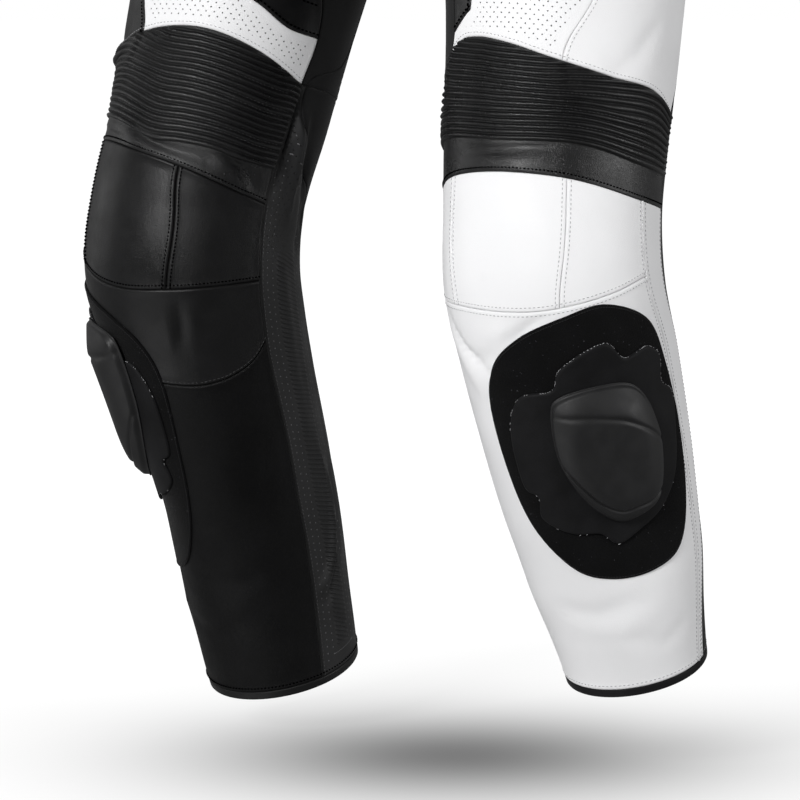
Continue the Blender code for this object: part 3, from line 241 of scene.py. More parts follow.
# Lines and rows of a leg are crossed by turns, from this height on.
CROSSING_ROUNDS = 12
CROSSING_START = 0.4
# The way from a leg's last ring to the trunk: step that gives its start, pull of its end, and its length as cloth.
ROOT_STEP = 0.01
ROOT_PULL = 0.9
ROOT_CLOTH = 0.10
CROTCH_WAY = np.array([-1.0, 0.0, 0.25])
SLEEVE_WAY = np.array([1.0, 0.0, -0.25])
# Steps of angle and height that give a surface's directions.
ANGLE_STEP = 0.5
SHIN_ANGLE_STEP = 0.3
HEIGHT_STEP = 0.001

# The edge of a wall at a seam: its rounding, its start on the legs' black leather and on other cloth, and its padding.
EDGE_ROUND = 0.0016
EDGE_START = 0.50
PALE_EDGE_START = 0.76
ALLOWANCE_AT = 0.0020
ALLOWANCE_WIDTH = 0.0014
PUFF = 0.00022
BLACK_PUFF = 0.0006
TAPE_WIDTH = 0.010
ARC_SCALE = 0.0015  # metres of cloth for each degree round a leg
STROKE_END = 0.04
MILLIMETRES = 1000
TENTHS = 10000

# Creases: (depth and half width in tenths of a millimetre, line of (angle, height in millimetres)); a negative
# depth is a trough.
BACK_CREASES = (
    (-26, 60, ((150, 470), (185, 456), (215, 466))), (-30, 70, ((142, 505), (180, 498), (222, 508))),
    (-24, 60, ((150, 535), (190, 530), (228, 540))), (22, 70, ((146, 520), (182, 514), (220, 522))),
    (-18, 80, ((140, 400), (175, 380), (210, 396))),
)
CREASES = {
    "left": BACK_CREASES + (
        (-32, 36, ((-44, 470), (-36, 456), (-26, 446), (-14, 436), (-8, 431))),
        (16, 60, ((-46, 462), (-36, 444), (-26, 428), (-18, 420))), (-22, 24, ((25, 466), (16, 459), (6, 453))),
        (-20, 24, ((32, 471), (24, 465), (15, 459))), (-18, 32, ((-2, 446), (-12, 442), (-26, 441))),
        (12, 40, ((14, 470), (6, 460), (-6, 456))),
        (-22, 28, ((-34, 577), (-14, 579), (2, 580), (20, 583), (38, 586))),
        (18, 60, ((-26, 571), (5, 571), (26, 573), (54, 571))), (-12, 40, ((30, 568), (52, 566), (74, 560))),
        (-14, 70, ((60, 640), (78, 668), (92, 700))), (-12, 80, ((-10, 240), (20, 232), (52, 238))),
        (10, 100, ((-2, 222), (30, 214), (70, 226))), (-12, 70, ((30, 206), (64, 196), (86, 204))),
        (20, 70, ((148, 486), (186, 476), (220, 488))), (-14, 80, ((160, 300), (190, 286), (226, 300))),
        (-18, 70, ((250, 520), (262, 480), (268, 440))),
    ),
    "right": BACK_CREASES + (
        (-22, 40, ((-30, 466), (-31, 452), (-29, 436))), (12, 50, ((-38, 466), (-38, 446), (-35, 428))),
        (10, 50, ((-22, 466), (-23, 446), (-22, 430))),
        (-24, 40, ((10, 590), (0, 584), (-8, 579), (-18, 574), (-30, 571), (-46, 567))),
        (20, 45, ((22, 588), (8, 581), (-8, 573), (-24, 568), (-42, 562))),
        (-20, 28, ((48, 590), (30, 586), (8, 579))), (16, 28, ((48, 596), (32, 592), (16, 588))),
        (-30, 34, ((-48, 575), (-60, 567), (-67, 558), (-72, 549))),
        (22, 40, ((-44, 569), (-55, 562), (-62, 553), (-67, 546))),
        (46, 50, ((34, 659), (46, 653), (60, 647), (84, 645))), (-20, 40, ((30, 668), (44, 664), (58, 656))),
        (-16, 80, ((-40, 235), (-20, 228), (6, 236))), (14, 90, ((-34, 215), (-10, 205), (20, 216))),
        (-14, 80, ((-20, 190), (10, 182), (34, 190))), (-16, 60, ((-68, 350), (-62, 322), (-56, 300))),
        (-50, 32, ((-84, 632), (-85, 600), (-84, 572), (-83, 548))),
        (75, 50, ((-91, 622), (-92, 600), (-94, 580), (-96, 556), (-98, 530))),
        (-46, 46, ((-101, 588), (-110, 568), (-116, 546), (-117, 522), (-112, 494))),
        (16, 60, ((-96, 500), (-98, 450), (-97, 400), (-99, 340))),
        (34, 42, ((-104, 320), (-109, 279), (-106, 250), (-98, 221), (-89, 208), (-78, 200))),
        (-28, 40, ((-115, 300), (-116, 262), (-107, 226), (-97, 204), (-84, 190))),
        (-16, 50, ((-90, 176), (-100, 160), (-112, 150))), (-14, 80, ((160, 290), (190, 276), (226, 290))),
    ),
}

# Pleats: pitch, form, and how many lie under each place of the upper seam: (angle, count).
RIB_PITCH = 0.0050
RIB_STAND = 1.15
RIB_SAG = 0.78
RIB_ROUND = 0.85
RIB_UNEVEN = 0.08
RIB_ENDS = 0.012
RIB_WANDER = (0.12, 0.04)
RIB_COLUMNS = 2
RIB_SKIP = 6
RIBS_ACROSS = {
    "left": ((-82, 11.4), (-44, 11.9), (-37, 13.0), (-20, 17.0), (0, 17.8), (31, 15.8), (47, 13.9), (68, 12.0),
             (95, 11.0), (150, 11.0)),
    "right": ((-79, 15.6), (-65, 17.4), (-45, 18.6), (-25, 18.8), (-6, 18.2), (8, 16.2), (20, 14.2),
              (46, 11.8), (110, 11.0)),
}
# Pleats whose valleys are sewn down: their counts, columns and share of the height left free, and fewest points.
SEWN_VALLEYS = {"left": (3, 6, 9, 12), "right": (3, 4, 9, 10, 13)}
VALLEY_COLUMNS = 4
VALLEY_FREE = 0.03
VALLEY_POINTS = 8

LEG_LAYOUT = (
    # node, material on the left, on the right, low, high, first, last
    ("thigh_outer", "white", "black", "band", "root", "cup_outer", "back"),
    ("thigh_medial", "black", "black", "step", "root", "medial", "cup_inner"),
    ("thigh_back", "matt", "plain_stretch", "band", "root", "back", "calf"),
    ("knee_cup_medial", "white", "black", "cup", "strip", "medial", "cup_inner"),
    ("knee_cup_centre", "white", "black", "cup", "strip", "cup_inner", "cup_outer"),
    ("knee_cup_lateral", "white", "black", "cup", "strip", "cup_outer", "side"),
    ("side_strip", "white", "black", "binding", "strip", "side", "back"),
    ("shin_upper", None, "black", "gusset", "cup", "medial", "side"),
    ("shin_front", None, "shin", "binding", "gusset", "medial", "side"),
    ("shin_front", "white", None, "binding", "cup", "medial", "side"),
    ("calf_back", "plain_stretch", "plain_stretch", "binding", "band", "back", "calf"),
    ("calf_medial", "calf", "calf", "binding", "band", "calf", "end"),
)

COLLAR_LEAN_FROM = 0.05
COLLAR_MIDDLE = np.array([0.0, -0.012])
SAME_PLACE = 1e-6
SLEEVE_LENGTH = SLEEVE_STATIONS[-1][0]

# Outline and points for each of its spans.
OUTLINES = {"patch": (PATCH_OUTLINE, 12), "backing": (BACKING_OUTLINE, 14), "puck": (PUCK_OUTLINE, 16)}
# Rings of a layer, as shares of the way out: of a flat one, and of the slider.
LAYER_RINGS = np.concatenate([np.linspace(0.05, 0.9, 22), [0.93, 0.955, 0.972, 0.985, 0.994, 1.0]])
PUCK_RINGS = np.concatenate([np.linspace(0.03, 0.8, 38), np.linspace(0.8, 1.0, 20)[1:]])
PATCH_RIM = 0.02
BACKING_RIM = 0.03
SHIN_FOLLOW = 0.6
PATCH_STITCH = 0.982
FRAY_SEED = 7
FRAY_SHARE = (0.10, 0.75)
FRAY_LENGTH = 0.0016
FRAY_RADIUS = 0.00022
FRAY_HEIGHT = 0.6
FRAY_SPREAD = 1.6
# Grooves across the slider: (share across, share up).
PUCK_UPPER_GROOVE = ((0.0, 0.872), (0.11, 0.862), (0.45, 0.822), (0.69, 0.745), (0.85, 0.64), (1.0, 0.50))
PUCK_LOWER_GROOVE = ((0.0, 0.55), (0.14, 0.37), (0.265, 0.23), (0.45, 0.125), (0.65, 0.115), (0.8, 0.12),
                     (1.0, 0.21))
# Form of the slider: its height at the crown, rim and lowest, its wall's share of the way in and steepness, its
# grooves and ridge (share wide, metres high), and the bevel and flat beyond the grooves.
PUCK_CROWN = 0.0150
PUCK_RIM = 0.0050
PUCK_LEAST = 0.0012
PUCK_WALL = (0.42, 0.85)
UPPER_GROOVE = (0.016, 0.0016)
LOWER_GROOVE = (0.014, 0.0022)
RIDGE_AT = 0.30
RIDGE = (0.10, 0.0010)
BEVEL = 0.0022
LOWER_FLAT = 0.0012
RIM_START = 0.25

# Colours, and the numbers that several materials share.
BLACK = (0.0032, 0.0032, 0.0035)
DARK = (0.0045, 0.0045, 0.0048)
WHITE = (0.83, 0.83, 0.84)
SHEEN_ROUGHNESS = 0.4
CLOUD = (0.3, 0.7)
WEAR = (0.3, 0.72)
# How far from a seam the shade painted into the cloth's colour and its dulling reach, and the dulling's extra
# roughness.
SEAM_SHADE = 0.0014
SEAM_DULL = 0.25
# Patterns of noise: repeats a metre, and detail.
LEATHER_CLOUDS = (9.0, 4.0)
WORN_PATCHES = (26.0, 5.0)
FOLDS = (38.0, 4.0)
FINE_GRAIN = (2600.0, 2.0)
CALF_CLOUDS = (18.0, 4.0)
CALF_GRAIN = (1400.0, 2.0)
STRETCH_CLOUDS = (14.0, 4.0)
STRETCH_WEAVE = (3200.0, 2.0)
FABRIC_CLOUDS = (40.0, 5.0)
LINT = (420.0, 2.0)
MOULD_CLOUDS = (30.0, 4.0)
MOULD_WEAR = (60.0, 4.0)
GRAIN_DEPTH = 0.00009
FOLD_DEPTH = 0.0016
PORE_SCALE = 820.0
PORE_WALL = 0.22
HOLE_DARK = 0.88
HOLE_DEPTH = 5.0  # in grain heights
# Perforation: pitch across and along, radius, and margin to the seams.
HOLES_FRONT = (0.0064, 0.0038, 0.00058, 0.0085)
HOLES_CALF = (0.0052, 0.0046, 0.00045, 0.0060)
HOLE_SOFT = 0.00012
DOT_SOFT = 0.00015
CALF_DOTS = ((0.0080, 0.0), (0.0145, 0.5))  # distance from the seam, share of the pitch
CALF_DOT_PITCH = 0.0062
CALF_DOT_RADIUS = 0.0006
CALF_EDGE = (0.0185, 0.0225)
CALF_RIBS_TOP = 0.505
CALF_RIB_SLOPE = 0.45
CALF_RIB_PITCH = 0.0042
CALF_DOT_BRIGHT = 7.0
# Reach of the shade painted beside the calf panel's seams.
CALF_SEAM_SHADE = 0.0030
STRETCH_PITCH = 0.0042
STRETCH_SLOPE = 0.28

# Threads: (colour, roughness, specular), and (pitch, length, radius) of a stitch.
THREADS = {
    "thread_black": (((0.0004, 0.0004, 0.0005), 1.0, 0.0), (0.0031, 0.0020, 0.00068)),
    "thread_heavy": (((0.0004, 0.0004, 0.0005), 1.0, 0.0), (0.0040, 0.0028, 0.00080)),
    "thread_dim": (((0.020, 0.020, 0.021), 0.7, 0.2), (0.0024, 0.0019, 0.00026)),
    "thread_grey": (((0.050, 0.050, 0.051), 0.6, 0.3), (0.0036, 0.0024, 0.00028)),
    # White thread, coloured grey: the grey is painted shade of its stitch holes; the backing's pale frays use it too.
    "thread_white": (((0.34, 0.34, 0.35), 0.55, 0.4), (0.0036, 0.0020, 0.00030)),
}
THREAD_SINK = 0.55
# Rings of a stitch, of unit length and radius: place along it, radius, and drop of its ends into the cloth.
STITCH_RINGS = ((-0.5, 0.4, -0.6), (-0.28, 0.95, -0.1), (0.28, 0.95, -0.1), (0.5, 0.4, -0.6))
SEARCH = 0.012
TOP_STITCH = 0.0036
LEG_STITCHES = (
    # kind, seam, low, high, offsets, left thread, right thread
    ("down", "cup_outer", "cup", "strip", (-TOP_STITCH, TOP_STITCH), "thread_white", "thread_black"),
    ("down", "cup_inner", "cup", "strip", (-TOP_STITCH, TOP_STITCH), "thread_white", "thread_black"),
    ("round", "cup", "medial", "side", (-TOP_STITCH,), "thread_white", None),
    ("round", "cup", "medial", "side", (TOP_STITCH,), "thread_white", "thread_black"),
    ("round", "strip", "medial", "back", (TOP_STITCH,), "thread_black", "thread_black"),
    ("round", "gusset", "medial", "side", (TOP_STITCH * 0.8,), None, "thread_grey"),
    ("round", "band", "medial", "back", (TOP_STITCH,), "thread_white", "thread_white"),
    ("down", "side", "binding", "strip", (-TOP_STITCH, TOP_STITCH), "thread_white", "thread_black"),
    ("down", "back", "binding", "strip", (-TOP_STITCH,), "thread_white", "thread_black"),
    ("down", "cup_inner", "step", "top", (-TOP_STITCH,), "thread_heavy", "thread_heavy"),
    ("down", "cup_outer", "band", "top", (TOP_STITCH,), "thread_white", "thread_black"),
    ("round", "step", "medial", "cup_inner", (TOP_STITCH,), "thread_heavy", "thread_heavy"),
    ("down", "end", "binding", "strip", (-TOP_STITCH * 0.8,), "thread_grey", "thread_grey"),
    ("round", "binding", "medial", "end", (TOP_STITCH,), "thread_white", "thread_black"),
)
# Rows that follow no seam: thread, line of (angle, height).
FREE_STITCHES = {
    "left": (),
    "right": (
        ("thread_heavy", ((-58, 0.714), (-63, 0.710), (-70, 0.707), (-80, 0.7055))),
        ("thread_dim", ((-86, 0.6385), (-95, 0.641), (-106, 0.643))),
    ),
}
PIPING_STEP = 0.0030
PIPING_WAVE = 0.0003
PIPING_STAND = 0.75  # of the leather's thickness
PIPING_RADIUS = 0.0011

# Shadow painted on the floor under the suit: its middle, its half sizes across and along the view, and its depth.
PAINTED_SHADOW_AT = (0.040, 0.009)
PAINTED_SHADOW_SIZE = (0.240, 0.265)
PAINTED_SHADOW_DEPTH = 0.80
FLOOR_COLOUR = (0.2, 0.2, 0.2)
FLOOR_GLOW = 0.87
FLOOR_FADE = (0.35, 1.6)
SURROUND_RADIUS = 40.0
WORLD_LIGHT = 0.22
FLOOR_HEIGHT = -1.430
VIEW_AZIMUTH = 38
VIEW_ELEVATION = 5
VIEW_DISTANCE = 4.5
VIEW_TARGET = (0.0, -0.022, -1.125)
VIEW_WIDTH = 0.68
SENSOR = 36.0
LIGHTS_TARGET = (0.0, 0.0, -1.05)
LIGHTS = (
    # name, azimuth, elevation, distance, size, power
    ("key", 8, 22, 5.0, 1.4, 212),
    ("fill_right", 108, 12, 5.0, 3.0, 112),
    ("fill_left", -75, 12, 5.0, 3.0, 28),
    ("bounce", -20, -42, 3.0, 2.0, 14),
    ("back", 215, 30, 5.0, 3.0, 60),
)


# ---------------------------------------------------------------- curves

def smooth(xs, ys, x):
    """Smooth curve through the points (xs, ys), read at x; flat outside them."""
    xs, ys = np.asarray(xs, float), np.asarray(ys, float)
    slopes = np.gradient(ys, xs)
    x = np.clip(x, xs[0], xs[-1])
    i = np.clip(np.searchsorted(xs, x, side="right") - 1, 0, len(xs) - 2)
    width = xs[i + 1] - xs[i]
    t = (x - xs[i]) / width
    value = ys[i] * (1 + 2 * t) * (1 - t) ** 2 + ys[i + 1] * t * t * (3 - 2 * t)
    return value + width * t * (1 - t) * (slopes[i] * (1 - t) - slopes[i + 1] * t)


def column(table, index, x):
    return smooth([row[0] for row in table], [row[index] for row in table], x)


def line(table, x):
    return column(table, 1, x)


def path(table, fraction):
    return np.stack([column(table, k, fraction) for k in (1, 2, 3)], axis=-1)


def unit(v):
    return v / np.maximum(np.linalg.norm(v, axis=-1, keepdims=True), 1e-12)


def hermite(start, end, start_tangent, end_tangent, t):
    return (start * (1 + 2 * t) * (1 - t) ** 2 + end * t * t * (3 - 2 * t)
            + start_tangent * t * (1 - t) ** 2 - end_tangent * t * t * (1 - t))


def ease(x):
    """0 to 1 with a soft start and end."""
    x = np.clip(x, 0, 1)
    return x * x * (3 - 2 * x)


def quarter_round(x):
    """0 to 1 along a quarter of a circle: a rounded edge."""
    return np.sqrt(np.clip(1 - (1 - np.clip(x, 0, 1)) ** 2, 0, 1))


def shares(length, spacing):
    """Fractions 0 to 1 of a stretch of cloth: even inside it, and closer beside the seams at its ends."""
    near = SEAM_STEPS[SEAM_STEPS < length * 0.3] / length
    last = near[-1]
    count = max(1, round((1 - 2 * last) * length / spacing))
    return np.concatenate([[0], near[:-1], np.linspace(last, 1 - last, count + 1), 1 - near[:-1][::-1], [1]])


def positions(parts):
    """Joins the fractions of consecutive stretches: arrays of stretch and fraction, and the index of each seam."""
    stretch = np.concatenate([np.full(len(part) - 1, k) for k, part in enumerate(parts)] + [[len(parts) - 1]])
    share = np.concatenate([part[:-1] for part in parts] + [[1.0]])
    seams = np.concatenate([[0], np.cumsum([len(part) - 1 for part in parts])])
    return stretch.astype(int), share, [int(k) for k in seams]


# ---------------------------------------------------------------- the leg surface

def leg_point(angle, height, side):
    """Point of a leg's surface, in the left leg's place, above the wearer's floor."""
    a = np.radians(angle)
    forward, aside, pitch = (column(LEG_STATIONS, k, height) for k in (1, 2, 3))
    taper = (KNEE_HEIGHT - HEM_HEIGHT["right"]) / (KNEE_HEIGHT - HEM_HEIGHT[side])
    size_at = KNEE_HEIGHT + (height - KNEE_HEIGHT) * np.where(height < KNEE_HEIGHT, taper, 1.0)
    front, back, outer, inner = (column(LEG_STATIONS, k, size_at) for k in (4, 5, 6, 7))
    off_flat = (angle - SHIN_FLAT_AT + 180) % 360 - 180
    dent = line(SHIN_FLAT, height) * np.exp(-((off_flat / SHIN_FLAT_WIDTH) ** 2))
    girth, drawn = HEM_HANG[side]
    hang = ease((HEM_HANG_FROM - height) / HEM_HANG_HEIGHT)
    share = 1 + (girth - 1) * hang
    across = (np.where(np.sin(a) > 0, outer, inner) * share - dent) * np.sin(a)
    along = (np.where(np.cos(a) > 0, front, back) * share - dent) * np.cos(a)
    across = across + drawn * hang * math.sin(math.radians(HEM_HANG_AT))
    along = along + drawn * hang * math.cos(math.radians(HEM_HANG_AT))
    tilt = np.radians(pitch)
    return np.stack([aside + across, -forward - along * np.cos(tilt), height - along * np.sin(tilt)], axis=-1)


def seams_down(side):
    upper = THIGH_SEAMS[side]
    medial = MEDIAL_SEAM + upper["medial"]
    seams = [medial, CUP_INNER_SEAM + upper["cup_inner"], CUP_OUTER_SEAM + upper["cup_outer"],
             SIDE_SEAM + THIGH_SIDE, BACK_SEAM + THIGH_BACK, CALF_SEAM[side] + THIGH_CALF[side]]
    return seams + [tuple((height, angle + 360) for height, angle in medial)]


def seams_round(side):
    hem = HEM_HEIGHT[side]
    tables = [GUSSET_SEAM] + [table[side] for table in (CUP_LOWER_SEAM, CUP_UPPER_SEAM, RIB_LOWER_LINE, RIB_UPPER_SEAM,
                                                        THIGH_STEP)]
    rings = [lambda angle: hem + 0 * angle, lambda angle: hem + HEM_BINDING + 0 * angle]
    rings += [lambda angle, rows=rows: line(rows, angle) for rows in tables]
    return rings + [lambda angle: LEG_TOP + 0 * angle]


def leg_lines(side, row_at, row_share, col_at, col_share):
    """Angle and height of every point where the fine rows and columns of a leg cross."""
    rings, downs = seams_round(side), seams_down(side)
    height = np.full((len(row_at), len(col_at)), CROSSING_START)
    angle = np.zeros_like(height)
    for _ in range(CROSSING_ROUNDS):
        for k in range(len(downs) - 1):
            here = col_at == k
            share = col_share[here][None]
            angle[:, here] = line(downs[k], height[:, here]) * (1 - share) + line(downs[k + 1], height[:, here]) * share
        wrapped = np.where(angle > ROUND_LIMIT, angle - 360, angle)
        for k in range(len(rings) - 1):
            here = row_at == k
            share = row_share[here][:, None]
            height[here] = rings[k](wrapped[here]) * (1 - share) + rings[k + 1](wrapped[here]) * share
    height[:, -1] = height[:, 0]
    angle[:, -1] = angle[:, 0] + 360
    return angle, height


def trunk_point(angle, height):
    a = np.radians(angle)
    centre, width, front, back = (column(TRUNK_STATIONS, k, height) for k in (1, 2, 3, 4))
    depth = np.where(np.cos(a) > 0, front, back)
    return np.stack([width * np.sin(a), centre - depth * np.cos(a), height + 0 * a], axis=-1)


def root_points(arc, inner_top):
    """Upper end of each line of the leg: on the trunk's root line, or on the crotch line inside."""
    outer = trunk_point(arc, line(ROOT_LINE, arc))
    share = (inner_top[-1] - inner_top) / (inner_top[-1] - inner_top[0])
    y, height = column(CROTCH_LINE, 1, share), column(CROTCH_LINE, 2, share)
    inner = np.stack([0 * y, y, height], axis=-1)
    inner[0], inner[-1] = outer[-1], outer[0]
    return np.concatenate([outer, inner[1:]])


def net_normals(points, closed=False):
    """Outward directions over a net; closed nets join their last column to the first."""
    across = np.gradient(points, axis=1)
    if closed:
        across[:, 0] = across[:, -1] = points[:, 1] - points[:, -2]
    return unit(np.cross(across, np.gradient(points, axis=0)))


def leg_net(side):
    """Fine net of the left-hand shape of a leg, hem to root."""
    col_at, col_share, cols = positions([shares(width, LEG_SPACING) for width in COLUMN_WIDTHS])
    row_parts = [shares(height, LEG_SPACING) for height in RING_HEIGHTS]
    row_parts[0] = np.linspace(0, 1, HEM_ROWS + 1)
    row_parts[RING_NAMES.index("ribs")] = np.linspace(0, 1, RIB_ROWS + 1)
    row_at, row_share, rows = positions(row_parts)
    below = row_at < len(RING_HEIGHTS) - 1
    below[rows[-2]] = True
    at, share = row_at.copy(), row_share.copy()
    at[rows[-2]], share[rows[-2]] = len(RING_HEIGHTS) - 2, 1.0
    angle, height = leg_lines(side, at[below], share[below], col_at, col_share)
    lower = leg_point(angle, height, side)
    top = angle[-1]
    side_at, back_end = cols[3], cols[5]
    arc = np.interp(top[: back_end + 1], (top[0], top[side_at], top[back_end]), (0.0, 90.0, 180.0))
    root = root_points(arc, top[back_end:])
    start = lower[-1]
    rise = leg_point(top, height[-1] + ROOT_STEP, side) - start
    reach = np.linalg.norm(root - start, axis=-1, keepdims=True)
    up = np.tile((0.0, 0.0, 1.0), (len(root), 1))
    up[back_end + 1 : -1] = unit(CROTCH_WAY)
    stops = row_share[~below]
    upper = [hermite(start, root, unit(rise) * reach, up * reach * ROOT_PULL, t) for t in stops]
    points = np.concatenate([lower, upper])
    over = stops[:, None] * np.full((1, len(top)), ROOT_CLOTH)
    angle = np.concatenate([angle, np.repeat(top[None], len(stops), axis=0)])
    height = np.concatenate([height, height[-1][None] + over])
    leg = {"angle": angle, "height": height, "arc": arc, "col_at": col_at, "col_share": col_share,
           "rows": dict(zip(RING_NAMES, rows)), "cols": dict(zip(COLUMN_NAMES, cols))}
    leg["points"], leg["normals"] = creased(points, angle, height, side)
    leg["coords"] = np.stack([angle * ARC_SCALE, height], axis=-1)
    return leg


# ---------------------------------------------------------------- creases

def stroke_field(strokes, angle, height):
    """Sum of soft troughs and ridges, each a line of (angle, height) points that fades at its ends."""
    total = np.zeros_like(angle)
    arc = angle * ARC_SCALE
    for depth, width, spots in strokes:
        depth, width = depth / TENTHS, width / TENTHS
        near, fade = np.full(angle.shape, np.inf), np.zeros(angle.shape)
        points = np.array([(a * ARC_SCALE, h / MILLIMETRES) for a, h in spots])
        steps = len(points) - 1
        for k in range(steps):
            a, b = points[k], points[k + 1]
            d = b - a
            t = np.clip(((arc - a[0]) * d[0] + (height - a[1]) * d[1]) / (d @ d), 0, 1)
            gap = np.hypot(arc - a[0] - t * d[0], height - a[1] - t * d[1])
            closest = gap < near
            near = np.where(closest, gap, near)
            fade = np.where(closest, (k + t) / steps, fade)
        total += depth * np.exp(-((near / width) ** 2)) * np.sqrt(np.clip(4 * fade * (1 - fade), STROKE_END, 1))
    return total


def creased(points, angle, height, side):
    """A leg's net moved by its creases along the outward direction, and its new outward directions."""
    field = stroke_field(CREASES[side], angle, height) + stroke_field(CREASES[side], angle - 360, height)
    points = points + net_normals(points, True) * field[..., None]
    points[:, -1] = points[:, 0]
    return points, net_normals(points, True)


# ---------------------------------------------------------------- cloth pieces

CLOTH = []


def seam_rise(distance, thickness, puff):
    """Height of the outside over the inside of a wall: turned edge at the seam, padded by its allowance."""
    start = EDGE_START if puff > PUFF else PALE_EDGE_START
    edge = start + (1 - start) * quarter_round(distance / EDGE_ROUND)
    allowance = puff * np.exp(-(((distance - ALLOWANCE_AT) / ALLOWANCE_WIDTH) ** 2)) * ease(distance / ALLOWANCE_AT)
    return thickness * edge + allowance


def cloth(node, surface, key, side="left", thickness=LEATHER, mask=None, puff=PUFF, relief=None, held=None, slot=None,
          closed=False, valley=None):
    """A cloth piece: closed thin wall over the kept quads of a net, with seam edges, that takes its solid's place.

    surface is the net's points, outward directions and cloth coordinates in the left side's place; valley is the
    distance from the bottom of the nearest pleat.
    """
    points, normals, coords = surface
    rows, cols = points.shape[:2]
    index = np.arange(rows * cols).reshape(rows, cols)
    if closed:
        index[:, -1] = index[:, 0]
    quads = np.stack([index[:-1, :-1], index[:-1, 1:], index[1:, 1:], index[1:, :-1]], axis=-1)
    quads = quads[mask] if mask is not None else quads.reshape(-1, 4)
    used, compact = np.unique(quads, return_inverse=True)
    quads = compact.reshape(-1, 4)
    count = len(used)
    spots = (mirrored(points, side) + PLACE).reshape(-1, 3)[used]
    edges = np.concatenate([quads[:, [k, (k + 1) % 4]] for k in range(4)])
    ordered = np.sort(edges, axis=1)
    _, first, uses = np.unique(ordered[:, 0] * count + ordered[:, 1], return_index=True, return_counts=True)
    border = edges[first[uses == 1]]
    distance = border_distance(spots, border)
    spots = drawn_in(spots, quads, border)
    rise = seam_rise(distance, thickness, puff) + (0 if relief is None else relief.reshape(-1)[used])
    outer = spots + mirrored(normals, side).reshape(-1, 3)[used] * rise[:, None]
    faces, ends = (quads, border.T) if side == "left" else (quads[:, ::-1], border.T[::-1])
    a, b = ends
    walls = np.stack([b, a, a + count, b + count], axis=-1)
    obj = mesh_object(f"{node}_cloth", np.concatenate([outer, spots]),
                      np.concatenate([faces, faces[:, ::-1] + count, walls]), MATERIALS[key])
    info = np.full((2 * count, 3), -1.0)
    info[:count, :2] = info[count:, :2] = coords.reshape(-1, 2)[used]
    info[:count, 2] = distance if valley is None else np.minimum(distance, valley.reshape(-1)[used])
    obj.data.attributes.new("cloth", "FLOAT_VECTOR", "POINT").data.foreach_set("vector", info.ravel())
    stretch = thickness == STRETCH
    declare(obj, node, slot or ("leather_white" if "white" in key else "stretch_black" if stretch else "leather_black"))
    held = held or ("stretched" if stretch else "hung")
    flat_sheet(outer if held == "gathered" else spots, quads, used, (rows, cols))
    CLOTH.append((outer, faces))


def border_distance(spots, border):
    """Distance of each point from the border of its piece."""
    share = np.linspace(0, 1, EDGE_SAMPLES + 1)[:-1, None, None]
    dense = (spots[border[:, 0]] * (1 - share) + spots[border[:, 1]] * share).reshape(-1, 3)
    tree = KDTree(len(dense))
    for k, point in enumerate(dense):
        tree.insert(point, k)
    tree.balance()
    return np.array([tree.find(point)[2] for point in spots])


def drawn_in(spots, quads, border):
    """Points with the border moved in by half the seam's gap."""
    on_border = np.zeros(len(spots), bool)
    on_border[border.ravel()] = True
    pull = np.zeros_like(spots)
    for k in range(4):
        for shift in (1, 2, 3):
            here, there = quads[:, k], quads[:, (k + shift) % 4]
            keep = on_border[here] & ~on_border[there]
            np.add.at(pull, here[keep], spots[there[keep]] - spots[here[keep]])
    return spots + unit(pull) * SEAM_GAP / 2


def flat_sheet(spots, quads, used, shape):
    full = np.full((shape[0] * shape[1], 3), np.nan)
    full[used] = spots
    full = full.reshape(*shape, 3)
    width, length = (float(np.nansum(np.linalg.norm(np.diff(full, axis=k), axis=2), axis=k).max()) for k in (1, 0))
    diagonals = np.cross(spots[quads[:, 2]] - spots[quads[:, 0]], spots[quads[:, 3]] - spots[quads[:, 1]])
    if length < TAPE_WIDTH:
        length = TAPE_WIDTH


def mesh_object(name, points, faces, material):
    data = bpy.data.meshes.new(name)
    data.from_pydata(np.asarray(points).tolist(), [], faces.tolist() if isinstance(faces, np.ndarray) else faces)
    data.polygons.foreach_set("use_smooth", [True] * len(data.polygons))
    data.update()
    obj = bpy.data.objects.new(name, data)
    bpy.context.scene.collection.objects.link(obj)
    data.materials.append(material)
    return obj


def declare(obj, node, slot):
    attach(obj, "suit")
    if node:
        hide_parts(node)


def outward_faces(obj):
    """Turns a closed mesh's faces outwards if its volume comes out negative."""
    obj.data.calc_loop_triangles()
    co = np.array([v.co for v in obj.data.vertices])
    tri = np.array([t.vertices for t in obj.data.loop_triangles])
    if np.einsum("ij,ij->i", co[tri[:, 0]], np.cross(co[tri[:, 1]], co[tri[:, 2]])).sum() < 0:
        obj.data.flip_normals()


def mirrored(points, side):
    return points * np.array([-1.0 if side == "right" else 1.0, 1.0, 1.0])


def placed(points, out, side):
    """Points and outward directions of a leg, in the frame."""
    return mirrored(points, side) + PLACE, mirrored(out, side)


# ---------------------------------------------------------------- materials

class Field:
    """A value that varies over a surface; arithmetic on it adds math nodes to its shader."""

    def __init__(self, shader, socket):
        self.shader, self.socket = shader, socket

    def math(self, operation, second=0.0):
        return self.shader.math(operation, self, second)

    def __add__(self, other):
        return self.math("ADD", other)

    def __sub__(self, other):
        return self.math("SUBTRACT", other)

    def __rsub__(self, other):
        return self.shader.math("SUBTRACT", other, self)

    def __mul__(self, other):
        return self.math("MULTIPLY", other)

    def __truediv__(self, other):
        return self.math("DIVIDE", other)

    def span(self, low, high, to_low, to_high):
        """The field eased from to_low to to_high as it goes from low to high."""
        inputs = {"Value": self, "From Min": low, "From Max": high, "To Min": to_low, "To Max": to_high}
        return self.shader.node("ShaderNodeMapRange", inputs, interpolation_type="SMOOTHSTEP")


